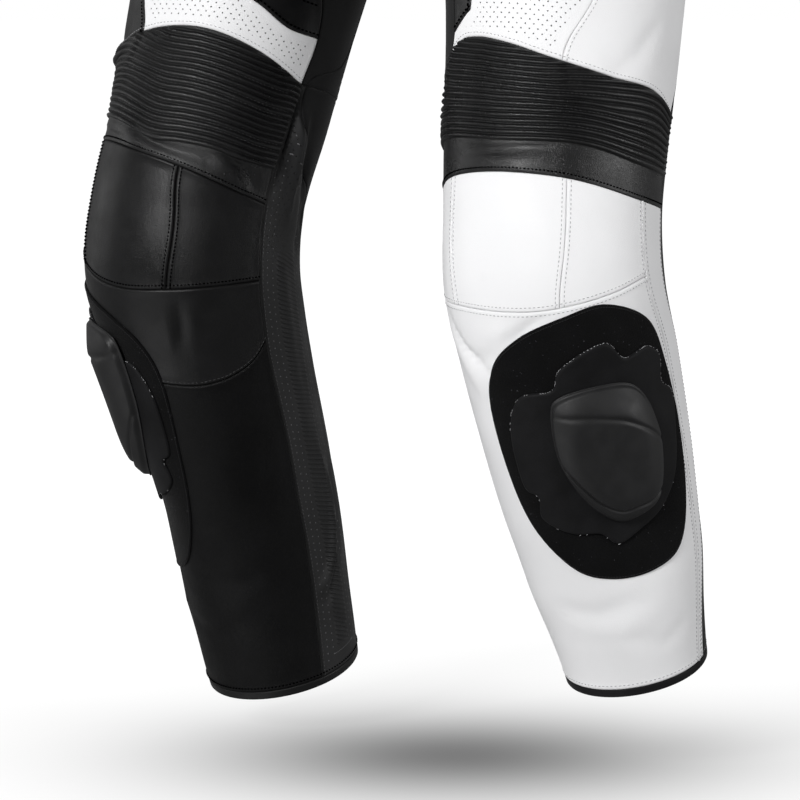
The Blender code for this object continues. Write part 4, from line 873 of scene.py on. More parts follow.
class Shader:
    """A Principled material being wired up."""

    def __init__(self, name, colour, roughness, specular=0.5, sheen=0.0):
        self.material = bpy.data.materials.new(name)
        self.material.use_nodes = True
        self.tree = self.material.node_tree
        self.inputs = self.tree.nodes["Principled BSDF"].inputs
        self.colour = colour
        for key, value in (("Base Color", (*colour, 1)), ("Roughness", roughness), ("Specular IOR Level", specular),
                           ("Sheen Weight", sheen), ("Sheen Roughness", SHEEN_ROUGHNESS)):
            self.feed(self.inputs[key], value)

    def feed(self, target, value):
        """Links a field to an input, or writes a number or colour there."""
        if isinstance(value, Field):
            self.tree.links.new(value.socket, target)
        else:
            target.default_value = value

    def node(self, kind, inputs=(), output=0, **settings):
        made = self.tree.nodes.new(kind)
        for key, value in settings.items():
            setattr(made, key, value)
        for key, value in dict(inputs).items():
            self.feed(made.inputs[key], value)
        return Field(self, made.outputs[output])

    def math(self, operation, first, second=0.0):
        return self.node("ShaderNodeMath", {0: first, 1: second}, operation=operation)

    def place(self):
        return self.node("ShaderNodeTexCoord", output="Object")

    def cloth(self):
        """The cloth's own coordinates: across, along, and distance from the nearest seam."""
        vector = self.node("ShaderNodeAttribute", output="Vector", attribute_name="cloth")
        split = self.node("ShaderNodeSeparateXYZ", {0: vector}).socket.node
        return [Field(self, socket) for socket in split.outputs]

    def noise(self, scale, detail=3.0):
        return self.node("ShaderNodeTexNoise", {"Scale": scale, "Detail": detail, "Vector": self.place()})

    def tint(self, factor):
        """Base colour times a factor that varies over the surface."""
        mix = self.node("ShaderNodeVectorMath", {0: self.colour, "Scale": factor}, operation="SCALE")
        self.feed(self.inputs["Base Color"], mix)

    def roughness(self, field):
        self.feed(self.inputs["Roughness"], field)

    def bump(self, height, distance, strength=1.0, after=None):
        inputs = {"Strength": strength, "Distance": distance, "Height": height}
        if after:
            inputs["Normal"] = after
        made = self.node("ShaderNodeBump", inputs)
        self.feed(self.inputs["Normal"], made)
        return made


def round_dot(along, across, radius, soft):
    """1 within a radius of the place where along and across are zero."""
    distance = (along * along + across * across).math("SQRT")
    return distance.span(radius - soft, radius + soft, 1.0, 0.0)


def hole_mask(shader, pitch_u, pitch_v, radius, margin):
    """1 in the holes of a staggered grid that keeps clear of the seams."""
    u, v, seam = shader.cloth()
    row = v / pitch_v
    shift = row.math("FLOOR").math("FLOORED_MODULO", 2.0) * 0.5
    across = ((u / pitch_u + shift).math("FRACT") - 0.5) * pitch_u
    along = (row.math("FRACT") - 0.5) * pitch_v
    return round_dot(across, along, radius, HOLE_SOFT) * seam.math("GREATER_THAN", margin)


def leather(name, colour, roughness, specular, grain=1.0, holes=None, mottle=0.30, painted_seam_shade=0.5):
    """Smooth finished cowhide: fine creased grain, a little uneven in sheen, duller in the seams and painted darker
    there as shade.
    """
    shader = Shader(name, colour, roughness, specular)
    seam = shader.cloth()[2]
    tone = shader.noise(*LEATHER_CLOUDS).span(*CLOUD, 1 - mottle, 1 + mottle)
    # Painted shade: darker near the seams, and in the pleats' valleys when the cloth carries their distance.
    factor = tone * seam.span(0.0, SEAM_SHADE, painted_seam_shade, 1.0)
    pores = shader.node("ShaderNodeTexVoronoi", {"Scale": PORE_SCALE, "Vector": shader.place()}, "Distance",
                        feature="DISTANCE_TO_EDGE")
    height = pores.span(0.0, PORE_WALL, 0.0, 1.0) + shader.noise(*FINE_GRAIN) * 0.5
    if holes:
        mask = hole_mask(shader, *holes)
        factor = factor * (1.0 - mask * HOLE_DARK)
        height = height - mask * HOLE_DEPTH
    shader.tint(factor)
    worn = shader.noise(*WORN_PATCHES).span(*WEAR, roughness - 0.08, roughness + 0.12)
    shader.roughness(worn + seam.span(0.0, SEAM_SHADE, SEAM_DULL, 0.0))
    wide = shader.bump(shader.noise(*FOLDS), FOLD_DEPTH, 0.35 * min(1.0, mottle * 4))
    shader.bump(height, GRAIN_DEPTH * grain, 1.0, wide)
    return shader.material


def edge_dots(shader):
    """1 in the holes of the columns that follow the nearest seam of the calf panel."""
    _, v, seam = shader.cloth()
    dots = [round_dot(((v / CALF_DOT_PITCH + phase).math("FRACT") - 0.5) * CALF_DOT_PITCH, seam - distance,
                      CALF_DOT_RADIUS, DOT_SOFT) for distance, phase in CALF_DOTS]
    return dots[0].math("MAXIMUM", dots[1])


def calf_leather(name, colour, roughness, specular):
    """Calf panel: holes at the top; below, a smooth edge with two columns of holes, then fine slanting ribs."""
    shader = Shader(name, colour, roughness, specular)
    u, v, seam = shader.cloth()
    lower = v.span(CALF_RIBS_TOP - 0.02, CALF_RIBS_TOP, 1.0, 0.0)
    wave = ((v - u * CALF_RIB_SLOPE) * (2 * math.pi / CALF_RIB_PITCH)).math("SINE")
    ribbed = seam.span(*CALF_EDGE, 0.0, 1.0) * lower
    ribs = wave.span(-1.0, 0.6, 0.0, 1.0) * ribbed
    dots = edge_dots(shader)
    holes = hole_mask(shader, *HOLES_CALF) * (1.0 - lower)
    # Painted shade: darker in the grooves between the fine ribs, and strongly darker along the seams.
    factor = shader.noise(*CALF_CLOUDS).span(*CLOUD, 0.75, 1.25) * (1.0 - (ribbed - ribs) * 0.55)
    factor = factor * (1.0 - holes * 0.9) * seam.span(0.0, CALF_SEAM_SHADE, 0.15, 1.0)
    shader.tint(factor + dots * CALF_DOT_BRIGHT)
    shader.roughness(shader.noise(*WORN_PATCHES).span(*WEAR, roughness - 0.06, roughness + 0.10))
    height = ribs * 6.0 - (dots * 2.0 + holes * 4.0) + shader.noise(*CALF_GRAIN) * 0.8
    shader.bump(height, 0.00010)
    return shader.material


def ribbed_stretch(name, colour):
    """Stretch fabric with fine cords across the cloth and a small weave."""
    shader = Shader(name, colour, 0.72, 0.3, 0.15)
    u, v, seam = shader.cloth()
    wave = ((v + u * STRETCH_SLOPE) * (2 * math.pi / STRETCH_PITCH)).math("SINE")
    # Painted shade and light: the colour is darker in the cords' troughs and lighter on their crests, following the
    # bump, and darker by the seams.
    factor = wave.span(-1.0, 1.0, 0.72, 1.15) * shader.noise(*STRETCH_CLOUDS).span(*CLOUD, 0.88, 1.12)
    shader.tint(factor * seam.span(0.0, SEAM_SHADE, 0.5, 1.0))
    shader.bump(wave.span(-1.0, 1.0, 0.0, 1.0) + shader.noise(*STRETCH_WEAVE) * 0.35, 0.00022, 0.9)
    return shader.material


def fabric(name, colour, roughness, scale, sheen, depth, specks=0.0):
    """Matt textile with a fine irregular surface, and pale specks of lint if asked for."""
    shader = Shader(name, colour, roughness, 0.14, sheen)
    weave = shader.noise(scale)
    factor = shader.noise(*FABRIC_CLOUDS).span(0.25, 0.75, 0.7, 1.35) * weave.span(*CLOUD, 0.6, 1.5)
    if specks:
        factor = factor + shader.noise(*LINT).span(0.715, 0.74, 0.0, specks)
    shader.tint(factor)
    shader.bump(weave, depth)
    return shader.material


def plastic(name, colour, roughness, specular, scale=900.0, depth=0.00008, metallic=0.0):
    """Moulded part with a fine sparked surface."""
    shader = Shader(name, colour, roughness, specular)
    shader.feed(shader.inputs["Metallic"], metallic)
    shader.tint(shader.noise(*MOULD_CLOUDS).span(*CLOUD, 0.86, 1.16))
    shader.roughness(shader.noise(*MOULD_WEAR).span(*CLOUD, roughness - 0.05, roughness + 0.08))
    shader.bump(shader.noise(scale), depth, 0.8)
    return shader.material


MATERIALS = {
    "black": leather("leather_black", BLACK, 0.37, 0.30, 0.5),
    "rib": leather("leather_rib", BLACK, 0.33, 0.46, 0.8, None, 0.06),
    # Darker, duller copy of the black leather for the right shin: its darker colour is painted shade.
    "shin": leather("leather_black_shaded", (0.0022, 0.0022, 0.0024), 0.44, 0.15),
    "matt": leather("leather_matt", DARK, 0.66, 0.10),
    "white": leather("leather_white", WHITE, 0.46, 0.3, 0.6, None, 0.015, 0.88),
    "white_holes": leather("leather_white_perforated", WHITE, 0.46, 0.3, 0.6, HOLES_FRONT, 0.015, 0.88),
    "calf": calf_leather("leather_calf", (0.012, 0.012, 0.0125), 0.46, 0.30),
    "stretch": ribbed_stretch("stretch_ribbed", DARK),
    "plain_stretch": fabric("stretch_plain", DARK, 0.7, 1500.0, 0.12, 0.00012),
    "loop": fabric("loop_pile", (0.0018, 0.0018, 0.0020), 0.95, 900.0, 0.05, 0.0006, 22.0),
    "base": fabric("slider_cloth", (0.0055, 0.0055, 0.0060), 0.66, 2600.0, 0.02, 0.00006),
    "puck": plastic("slider_plastic", (0.0085, 0.0085, 0.0090), 0.52, 0.36),
    "binding": fabric("binding_tape", (0.006, 0.006, 0.0066), 0.6, 2200.0, 0.05, 0.0001),
    "metal": plastic("zip_lacquer", (0.03, 0.03, 0.032), 0.32, 0.5, 300.0, 0.00004, 0.85),
}
for thread, (look, _) in THREADS.items():
    MATERIALS[thread] = plastic(thread, *look, 4000.0, 0.00005)


# ---------------------------------------------------------------- the legs

def accordion_relief(phase, angle, share):
    """Raised ribs: their number falls off where the upper seam cuts them, and no two are quite alike."""
    crest = RIB_STAND * np.sin(math.pi * (phase - np.floor(phase)) ** RIB_SAG) ** RIB_ROUND
    uneven = 1 + RIB_UNEVEN * np.sin(np.floor(phase) * 2.3 + angle * 0.03)
    ends = ease(share / RIB_ENDS) * ease((1 - share) / RIB_ENDS)
    return RIB_HEIGHT * crest * uneven * ends


def rib_phase(side, angle, share):
    """Count of the pleats below a place; they wander a little."""
    slow, fast = (sway * np.sin(turn) for sway, turn in
                  zip(RIB_WANDER, (angle * 0.045 + share * 9, angle * 0.13 + share * 31)))
    return line(RIBS_ACROSS[side], angle) * share + (slow + fast) * np.sin(math.pi * np.clip(share * 1.02, 0, 1))


def block(net, low, high, first, last):
    """Slices of a leg's net between two rings and two seams."""
    return slice(net["rows"][low], net["rows"][high] + 1), slice(net["cols"][first], net["cols"][last] + 1)


def part(leg, here):
    return [leg[name][here] for name in ("points", "normals", "coords")]


def leg_cloth(side, leg):
    for node, left_key, right_key, low, high, first, last in LEG_LAYOUT:
        key = left_key if side == "left" else right_key
        if key:
            cloth(f"{node}_{side}", part(leg, sparser(leg, block(leg, low, high, first, last))), key, side,
                  STRETCH if node == "calf_back" else LEATHER, puff=BLACK_PUFF if key in ("black", "shin") else PUFF)
    if side == "left":
        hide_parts("shin_upper_left")
    thigh_front(side, leg)
    accordion(side, leg)
    cloth(f"hem_binding_{side}", part(leg, block(leg, "hem", "binding", "medial", "end")),
          "binding" if side == "left" else "black", side, puff=0.0, closed=True)


def sparser(leg, here):
    """The same part of the net with one in RIB_SKIP of the fine rows beside the pleats."""
    rows = np.arange(here[0].start, here[0].stop)
    above = rows - leg["rows"]["ribs"]
    keep = (above <= 0) | (rows >= leg["rows"]["band"]) | (above % RIB_SKIP == 0)
    return np.ix_(rows[keep], np.arange(here[1].start, here[1].stop))


def thigh_front(side, leg):
    """Perforated white front: a band over the pleats, and above it the part between the two thigh seams."""
    surface = part(leg, block(leg, "band", "root", "medial", "cup_outer"))
    rows, cols = surface[0].shape[:2]
    mask = np.ones((rows - 1, cols - 1), bool)
    mask[leg["rows"]["step"] - leg["rows"]["band"] :, : leg["cols"]["cup_inner"] - leg["cols"]["medial"]] = False
    cloth(f"thigh_front_{side}", surface, "white_holes", side, mask=mask)


def accordion(side, leg):
    here = block(leg, "strip", "band", "medial", "back")
    angle = closer(leg["angle"][here])
    share = np.zeros(angle.shape)
    ribs_from = leg["rows"]["ribs"] - leg["rows"]["strip"]
    share[ribs_from:] = np.linspace(0, 1, RIB_ROWS + 1)[:, None]
    phase = rib_phase(side, angle, share)
    relief = accordion_relief(phase, angle, share)
    # Distance from the nearest pleat's valley: the leather is painted darker there as shade, and is duller.
    valley = np.abs(phase - np.round(phase)) * RIB_PITCH
    relief[:ribs_from], valley[:ribs_from] = 0.0, 1.0
    points, normals, coords = (closer(net) for net in part(leg, here))
    cloth(f"knee_accordion_{side}", (points, unit(normals), coords), "rib", side, relief=relief, held="gathered",
          valley=valley)


def closer(net):
    """A net with RIB_COLUMNS columns for each one it had."""
    at = np.arange((net.shape[1] - 1) * RIB_COLUMNS + 1) / RIB_COLUMNS
    first = np.minimum(at.astype(int), net.shape[1] - 2)
    share = (at - first).reshape((-1,) + (1,) * (net.ndim - 2))
    return net[:, first] * (1 - share) + net[:, first + 1] * share


# ---------------------------------------------------------------- the body

def framed_net(bottom, top, start, end, u, v):
    """Net between four border lines, at the shares u across and v up."""
    v, u = v[:, None, None], u[None, :, None]
    ruled = bottom[None] * (1 - v) + top[None] * v
    start_bow = start[:, None] - (start[0] * (1 - v) + start[-1] * v)
    end_bow = end[:, None] - (end[0] * (1 - v) + end[-1] * v)
    bottom_bow = bottom[None] - (bottom[0] * (1 - u) + bottom[-1] * u)
    return ruled + start_bow * (1 - u**2) + end_bow * u**4 + bottom_bow * (v - v**4)


def half_torso(bottom, middle, neck, armhole, across, up):
    """One quarter of the upper body; across and up are places in the cells of the solids' net."""
    rows, cols = SIDE_ROWS + ARMHOLE_ROWS, across[-1]
    start = path(middle, up / rows)
    end = np.where((up <= SIDE_ROWS)[:, None], path(SIDE_LINE, up / SIDE_ROWS),
                   path(armhole, (up - SIDE_ROWS) / ARMHOLE_ROWS))
    top = np.where((across <= NECK_CELLS)[:, None], path(neck, across / NECK_CELLS),
                   path(SHOULDER_LINE, (across - NECK_CELLS) / (cols - NECK_CELLS)))
    start[0], end[0] = bottom[0], bottom[-1]
    u, v = across / cols, up / rows
    net = framed_net(bottom, top, start, end, u, v)
    net[..., 2] += np.sin(math.pi * np.clip(2 * v - 1, 0, 1))[:, None] * np.sin(math.pi * u)[None] * SHOULDER_ROUND
    return net


def off_middle(net):
    """Net whose middle column stands beside the zip."""
    moved = net.copy()
    beyond = np.argmax(net[0, :, 0] > 2 * ZIP_HALF_WIDTH)
    share = np.clip((net[:, :beyond, 0] / net[:, beyond, 0][:, None]), 0, 1)
    start = net[:, 0] + (net[:, beyond] - net[:, 0]) * (ZIP_HALF_WIDTH / net[:, beyond, 0])[:, None]
    moved[:, :beyond] = start[:, None] * (1 - share[..., None]) + net[:, beyond][:, None] * share[..., None]
    return moved


def plain_coords(points):
    """Across and along the cloth, measured on a net itself."""
    steps = [np.diff(points, axis=k, prepend=points.take([0], axis=k)) for k in (1, 0)]
    return np.stack([np.cumsum(np.linalg.norm(step, axis=2), axis=1 - k) for k, step in enumerate(steps)], axis=-1)


def measured(net):
    return net, net_normals(net), plain_coords(net)


def body_nets(legs):
    """Nets of the hips and of the upper body's front and back, and their places in the solids' cells."""
    below, above = shares(SIDE_LENGTH, BODY_SPACING), shares(ARMHOLE_LENGTH, BODY_SPACING)
    up = np.concatenate([SIDE_ROWS * below, SIDE_ROWS + ARMHOLE_ROWS * above[1:]])
    cells = np.array(COLUMN_CELLS)
    starts = np.concatenate([[0], np.cumsum(cells)])
    nets = {}
    for side, leg in legs.items():
        place = starts[leg["col_at"]] + leg["col_share"] * cells[leg["col_at"]]
        side_at, back_end = leg["cols"]["side"], leg["cols"]["calf"]
        low = line(ROOT_LINE, leg["arc"])
        rises = shares(HIP_LENGTH, BODY_SPACING)
        hip = np.array([trunk_point(leg["arc"], low + (WAIST - low) * share) for share in rises])
        hip[:, -1, 0] = 0.0
        front = half_torso(hip[-1, : side_at + 1], FRONT_MIDDLE, NECK_FRONT, ARMHOLE_FRONT, place[: side_at + 1], up)
        behind = place[back_end] - place[side_at : back_end + 1][::-1]
        back = half_torso(hip[-1, side_at:][::-1], BACK_MIDDLE, NECK_BACK, ARMHOLE_BACK, behind, up)[:, ::-1]
        nets[side] = {"hip": hip, "hip_front": off_middle(hip[:, : side_at + 1]), "seat": hip[:, side_at:],
                      "torso_front": off_middle(front), "torso_back": back, "front": front,
                      "front_place": place[: side_at + 1], "back_place": behind[::-1]}
    return nets, up


def torso_pieces(nets):
    for side in SIDES:
        for node, key in (("hip_front", "black"), ("torso_front", "white")):
            cloth(f"{node}_{side}", measured(nets[side][node]), key, side)
    for node in ("seat", "torso_back"):
        left, right = (nets[side][node] for side in SIDES)
        cloth(node, measured(np.concatenate([left, mirrored(right, "right")[:, ::-1][:, 1:]], axis=1)), "black")


def gusset(legs):
    left, right = (leg["points"][leg["rows"]["band"] :, leg["cols"]["calf"] :] for leg in legs.values())
    net = np.concatenate([left, mirrored(right, "right")[::-1][1:]])
    cloth("inner_thigh_gusset", measured(net), "plain_stretch", thickness=STRETCH)


def collar_net(nets):
    halves = []
    for side in SIDES:
        net = nets[side]
        front = net["torso_front"][-1, : int(np.searchsorted(net["front_place"], NECK_CELLS)) + 1]
        keep = net["back_place"] <= NECK_CELLS + SAME_PLACE
        behind = net["torso_back"][-1][keep]
        doubled = net["back_place"][keep][0] >= NECK_CELLS - SAME_PLACE
        halves.append(np.concatenate([front, behind[1:] if doubled else behind]))
    ring = np.concatenate([halves[0], mirrored(halves[1], "right")[::-1][1:]])
    lean = COLLAR_LEAN * np.clip((ring[:, 1] - ring[0, 1]) / COLLAR_LEAN_FROM, 0, 1)
    rise = np.full((len(ring), 3), COLLAR_HEIGHT)
    rise[:, :2] = unit(COLLAR_MIDDLE - ring[:, :2]) * lean[:, None]
    return np.array([ring + rise * share for share in shares(COLLAR_HEIGHT, BODY_SPACING / 2)])


def sleeve_section(distance, around):
    stops = (distance, min(distance + ROOT_STEP, SLEEVE_LENGTH), max(distance - ROOT_STEP, 0.0))
    centre, ahead, behind = (path(SLEEVE_STATIONS, stop) for stop in stops)
    along = unit(ahead - behind)
    front = unit(np.array([0.0, -1.0, 0.0]) + along * along[1])
    under = np.cross(along, front)
    under = under if under[0] < 0 else -under
    a = np.radians(around)[:, None]
    return centre + column(SLEEVE_STATIONS, 4, distance) * (under * np.cos(a) + front * np.sin(a)), along


def sleeve(side, net, up):
    """The sleeve from the armhole down, as one tube cut into an outer, an inner and a cuff piece."""
    rows = up >= SIDE_ROWS
    hole = np.concatenate([net["front"][rows, -1], net["torso_back"][rows, 0][::-1][1:]])
    turn = up[rows] - SIDE_ROWS
    around = 360 * np.concatenate([turn, 2 * ARMHOLE_ROWS - turn[::-1][1:]]) / (2 * ARMHOLE_ROWS)
    ring, along = sleeve_section(0.0, around)
    reach = np.linalg.norm(ring - hole, axis=-1, keepdims=True)
    outward = unit(SLEEVE_WAY)
    rings = [hermite(hole, ring, outward * reach, along * reach, t) for t in shares(SLEEVE_HEAD, BODY_SPACING)]
    main = SLEEVE_LENGTH - CUFF_LENGTH
    stops = [main * share for share in shares(main, BODY_SPACING)[1:]]
    cuff = [SLEEVE_LENGTH - CUFF_LENGTH * (1 - t) for t in shares(CUFF_LENGTH, BODY_SPACING / 2)[1:]]
    points = np.array(rings + [sleeve_section(stop, around)[0] for stop in stops + cuff])[::-1]
    points[:, -1] = points[:, 0]
    cuff_to = len(cuff)
    surface = points, net_normals(points, True), plain_coords(points)
    first, last = (int(np.argmin(np.abs(around - angle))) for angle in (90, 270))
    cloth(f"sleeve_outer_{side}", [net[cuff_to:, first : last + 1] for net in surface], "black", side)
    order = np.concatenate([np.arange(last, len(around)), np.arange(1, first + 1)])
    inner = [net[cuff_to:, order] for net in surface]
    inner[2] = plain_coords(inner[0])
    cloth(f"sleeve_inner_{side}", inner, "stretch", side, STRETCH)
    cloth(f"cuff_{side}", [net[: cuff_to + 1] for net in surface], "stretch", side, STRETCH, closed=True)


# ---------------------------------------------------------------- knee slider

def ring_faces(rings, count):
    """Quads between each two following rings of count points."""
    here = np.arange(rings - 1)[:, None] * count
    a, b = here + np.arange(count), here + (np.arange(count) + 1) % count
    return np.stack([a, b, b + count, a + count], axis=-1).reshape(-1, 4)


def stitch_template():
    """A short thread lying along x."""
    turns = np.radians(np.arange(0, 360, 72))
    points = np.array([(x, r * math.cos(a), r * math.sin(a) + drop) for x, r, drop in STITCH_RINGS for a in turns])
    count = len(turns)
    caps = [tuple(reversed(range(count))), tuple(range(len(points) - count, len(points)))]
    return points, ring_faces(len(STITCH_RINGS), count).tolist() + caps


STITCH_POINTS, STITCH_FACES = stitch_template()


def stitch(base, along, across, up, length, radius):
    x, y, z = STITCH_POINTS.T
    return base + np.outer(x * length, along) + np.outer(y * radius, across) + np.outer(z * radius, up)


def stitch_mesh(name, stitches, key, slot):
    step = len(STITCH_POINTS)
    faces = [tuple(i + k * step for i in face) for k in range(len(stitches)) for face in STITCH_FACES]
    obj = mesh_object(name, np.concatenate(stitches), faces, MATERIALS[key])
    declare(obj, None, slot)
    return obj


def outline_of(side, name):
    """A layer's outline, smooth and closed, moved and stretched to sit on its leg."""
    table, per_span = OUTLINES[name]
    points = np.array(table, float)
    t = np.arange(per_span)[:, None] / per_span
    spans = []
    for k in range(len(points)):
        before, start, end, after = (points[(k + shift) % len(points)] for shift in (-1, 0, 1, 2))
        spans.append(hermite(start, end, (end - before) / 2, (after - start) / 2, t))
    curve = np.concatenate(spans)
    turn, widen, lift, above, below = LAYER_FIT[side][name]
    across, middle = (curve.max(axis=0) + curve.min(axis=0)) / 2
    rise = curve[:, 1] - middle
    return np.stack([across + turn + (curve[:, 0] - across) * widen,
                     middle + lift + rise * np.where(rise > 0, above, below)], axis=-1)


def on_shin(side, angle, height, lift):
    """Point over the shin's surface, lifted off it and following its creases in part."""
    step, rise = SHIN_ANGLE_STEP, HEIGHT_STEP
    across = leg_point(angle + step, height, side) - leg_point(angle - step, height, side)
    along = leg_point(angle, height + rise, side) - leg_point(angle, height - rise, side)
    field = stroke_field(CREASES[side], angle, height)
    return leg_point(angle, height, side) + unit(np.cross(across, along)) * (field * SHIN_FOLLOW + lift)[..., None]


def layer(node, ending, side, outline, base, rise, rings, key, slot):
    """Closed layer on the shin: spokes from its middle to its outline, its underside at base."""
    middle, spokes = outline.mean(axis=0), len(outline)
    spots = middle + (outline[None] - middle) * rings[:, None, None]
    angle, height = spots[..., 0], spots[..., 1]
    upper = on_shin(side, angle, height, base + rise(rings[:, None], angle, height))
    under = [on_shin(side, angle[[k]], height[[k]], base) for k in (-1, len(rings) // 2)]
    at = middle[:, None]
    centre, low_centre = (on_shin(side, *at, base + lift) for lift in (rise(np.zeros(1), *at), 0.0))
    rows = np.concatenate([upper, *under])
    count = len(rows) * spokes
    faces = ring_faces(len(rows), spokes)[:, [0, 3, 2, 1]].tolist()
    faces += [(count, i, (i + 1) % spokes) for i in range(spokes)]
    faces += [(count + 1, count - spokes + (i + 1) % spokes, count - spokes + i) for i in range(spokes)]
    if side == "right":
        faces = [face[::-1] for face in faces]
    points = mirrored(np.concatenate([rows.reshape(-1, 3), centre, low_centre]), side) + PLACE
    obj = mesh_object(f"{node}_{side}_{ending}", points, faces, MATERIALS[key])
    outward_faces(obj)
    declare(obj, f"{node}_{side}", slot)
    if ending != "moulded":
        laid_flat(upper, centre)
    return obj


def laid_flat(upper, centre):
    rings = np.concatenate([np.broadcast_to(centre, upper[:1].shape), upper])
    reach = np.linalg.norm(np.diff(rings, axis=0), axis=2).sum(axis=0)
    edge = upper[-1]
    width, length = (reach[edge[:, k].argmin()] + reach[edge[:, k].argmax()] for k in (0, 2))


def rim(height, share):
    """Rise of a flat top with a rounded rim that takes up the last share of the way out."""
    return lambda out, angle, up: height * (RIM_START + (1 - RIM_START) * quarter_round((1 - out) / share)) + 0 * angle


def sliders(side):
    patch_base = LEATHER + LAYER_GAP
    backing_base = patch_base + PATCH_THICKNESS + LAYER_GAP
    puck_base = backing_base + BACKING_THICKNESS + LAYER_GAP
    outline = outline_of(side, "patch")
    patch = layer("slider_patch", "pile", side, outline, patch_base, rim(PATCH_THICKNESS, PATCH_RIM), LAYER_RINGS,
                  "loop", "loop_fabric")
    edge = outline.mean(axis=0) + (outline - outline.mean(axis=0)) * PATCH_STITCH
    edge = np.concatenate([edge, edge[:1]])
    low, high = (on_shin(side, *edge.T, patch_base + PATCH_THICKNESS + lift) for lift in (0.0, PATCH_THICKNESS))
    pile = BVHTree.FromPolygons([v.co for v in patch.data.vertices], [tuple(f.vertices) for f in patch.data.polygons])
    threads("patch", side, [placed(low, unit(high - low), side)], pile, "thread_dim", "loop_fabric")
    outline = outline_of(side, "backing")
    layer("slider_backing", "cloth", side, outline, backing_base, rim(BACKING_THICKNESS, BACKING_RIM), LAYER_RINGS,
          "base", "slider_cloth")
    frays(side, outline, backing_base + BACKING_THICKNESS * FRAY_HEIGHT)
    outline = outline_of(side, "puck")
    lowest, size = outline.min(axis=0), outline.max(axis=0) - outline.min(axis=0)
    layer("slider_puck", "moulded", side, outline, puck_base,
          lambda out, angle, height: puck_height(out, (angle - lowest[0]) / size[0], (height - lowest[1]) / size[1]),
          PUCK_RINGS, "puck", "slider_plastic")


def frays(side, outline, lift):
    """Pale ends of fibre along the cut edge of the slider's base, thickest along its top."""
    random = np.random.RandomState(FRAY_SEED)
    spots = on_shin(side, *outline.T, lift)
    middle = outline[:, 1].mean()
    high = outline[:, 1].max() - middle
    fibres = []
    for k in range(len(spots)):
        chance, turn, length, lean = random.rand(4)
        if chance > FRAY_SHARE[0] + FRAY_SHARE[1] * max(0.0, (outline[k, 1] - middle) / high):
            continue
        along = unit(spots[(k + 1) % len(spots)] - spots[k - 1])
        out = unit(spots[k] - spots.mean(axis=0))
        way = unit(along + out * (turn - 0.5) * FRAY_SPREAD)
        across = unit(np.cross(way, out))
        up = np.cross(across, way)
        fibre = stitch(spots[k] + up * FRAY_RADIUS * lean, way, across, up, FRAY_LENGTH * (0.5 + length), FRAY_RADIUS)
        fibres.append(mirrored(fibre, side) + PLACE)
    outward_faces(stitch_mesh(f"slider_fray_{side}", fibres, "thread_white", "slider_cloth"))


def swell(distance, width, height):
    return height * np.exp(-((distance / width) ** 2))


def puck_height(share, across, up):
    """Moulded slider: steep rim, low crown, a bevel above the upper groove, a soft ridge and a lower groove."""
    wall = np.sin(np.clip((1 - share) / PUCK_WALL[0], 0, 1) * math.pi / 2) ** PUCK_WALL[1]
    upper, lower = (up - line(table, across) for table in (PUCK_UPPER_GROOVE, PUCK_LOWER_GROOVE))
    body = PUCK_RIM * ease((1 - share) / 0.05) + (PUCK_CROWN - PUCK_RIM) * wall
    body = body - swell(upper, *UPPER_GROOVE) - swell(lower, *LOWER_GROOVE) - BEVEL * ease(upper / 0.16)
    ridge = swell(across - RIDGE_AT, *RIDGE) * ease(-upper / 0.1) * ease(lower / 0.2)
    return np.maximum(body + ridge - LOWER_FLAT * ease(-lower / 0.12), PUCK_LEAST)


# ---------------------------------------------------------------- sewing

def surface_tree():
    """Search tree over the outsides of all cloth."""
    starts = np.cumsum([0] + [len(outer) for outer, _ in CLOTH])
    return BVHTree.FromPolygons(np.concatenate([outer for outer, _ in CLOTH]).tolist(),
                                np.concatenate([faces + start for (_, faces), start in zip(CLOTH, starts)]).tolist())


def resampled(points, out, spacing):
    """Points and outward directions of a line at even steps, three and three numbers in each row."""
    both = np.concatenate([points, out], axis=1)
    along = np.concatenate([[0], np.cumsum(np.linalg.norm(np.diff(points, axis=0), axis=1))])
    at = np.linspace(0, along[-1], max(2, int(along[-1] / spacing) + 1))
    return np.stack([np.interp(at, along, values) for values in both.T], axis=-1)


def seam_path(leg, side, kind, name, low, high, offset):
    """Line beside a seam of a leg, with its outward directions: kind is down or round."""
    points, rows, cols = leg["points"], leg["rows"], leg["cols"]
    if kind == "down":
        here = slice(rows[low], rows[high] + 1), cols[name]
        around = points.shape[1] - 1
        across = points[here[0], (cols[name] + 1) % around] - points[here[0], (cols[name] - 1) % around]
    else:
        here = rows[name], slice(cols[low], cols[high] + 1)
        across = points[min(rows[name] + 1, len(points) - 1), here[1]] - points[rows[name] - 1, here[1]]
    return placed(points[here] + unit(across) * offset, leg["normals"][here], side)


def threads(name, side, lines, tree, thread, slot="leather_black"):
    """Rows of stitches lying on the cloth, as one joined mesh."""
    pitch, length, radius = THREADS[thread][1]
    stitches = []
    for points, normals in lines:
        both = resampled(points, normals, pitch)
        for here, there in zip(both[:-1], both[1:]):
            out = unit(here[3:] + there[3:])
            hit = tree.ray_cast(Vector((here[:3] + there[:3]) / 2 + out * SEARCH), Vector(-out), 2 * SEARCH)
            if hit[0] is None:
                continue
            along = unit(there[:3] - here[:3])
            normal = np.array(hit[1])
            normal = normal if normal @ out > 0 else -normal
            along = unit(along - normal * (along @ normal))
            base = np.array(hit[0]) + normal * radius * THREAD_SINK
            stitches.append(stitch(base, along, np.cross(normal, along), normal, length, radius))
    stitch_mesh(f"sewing_{name}_{side}", stitches, thread, slot)


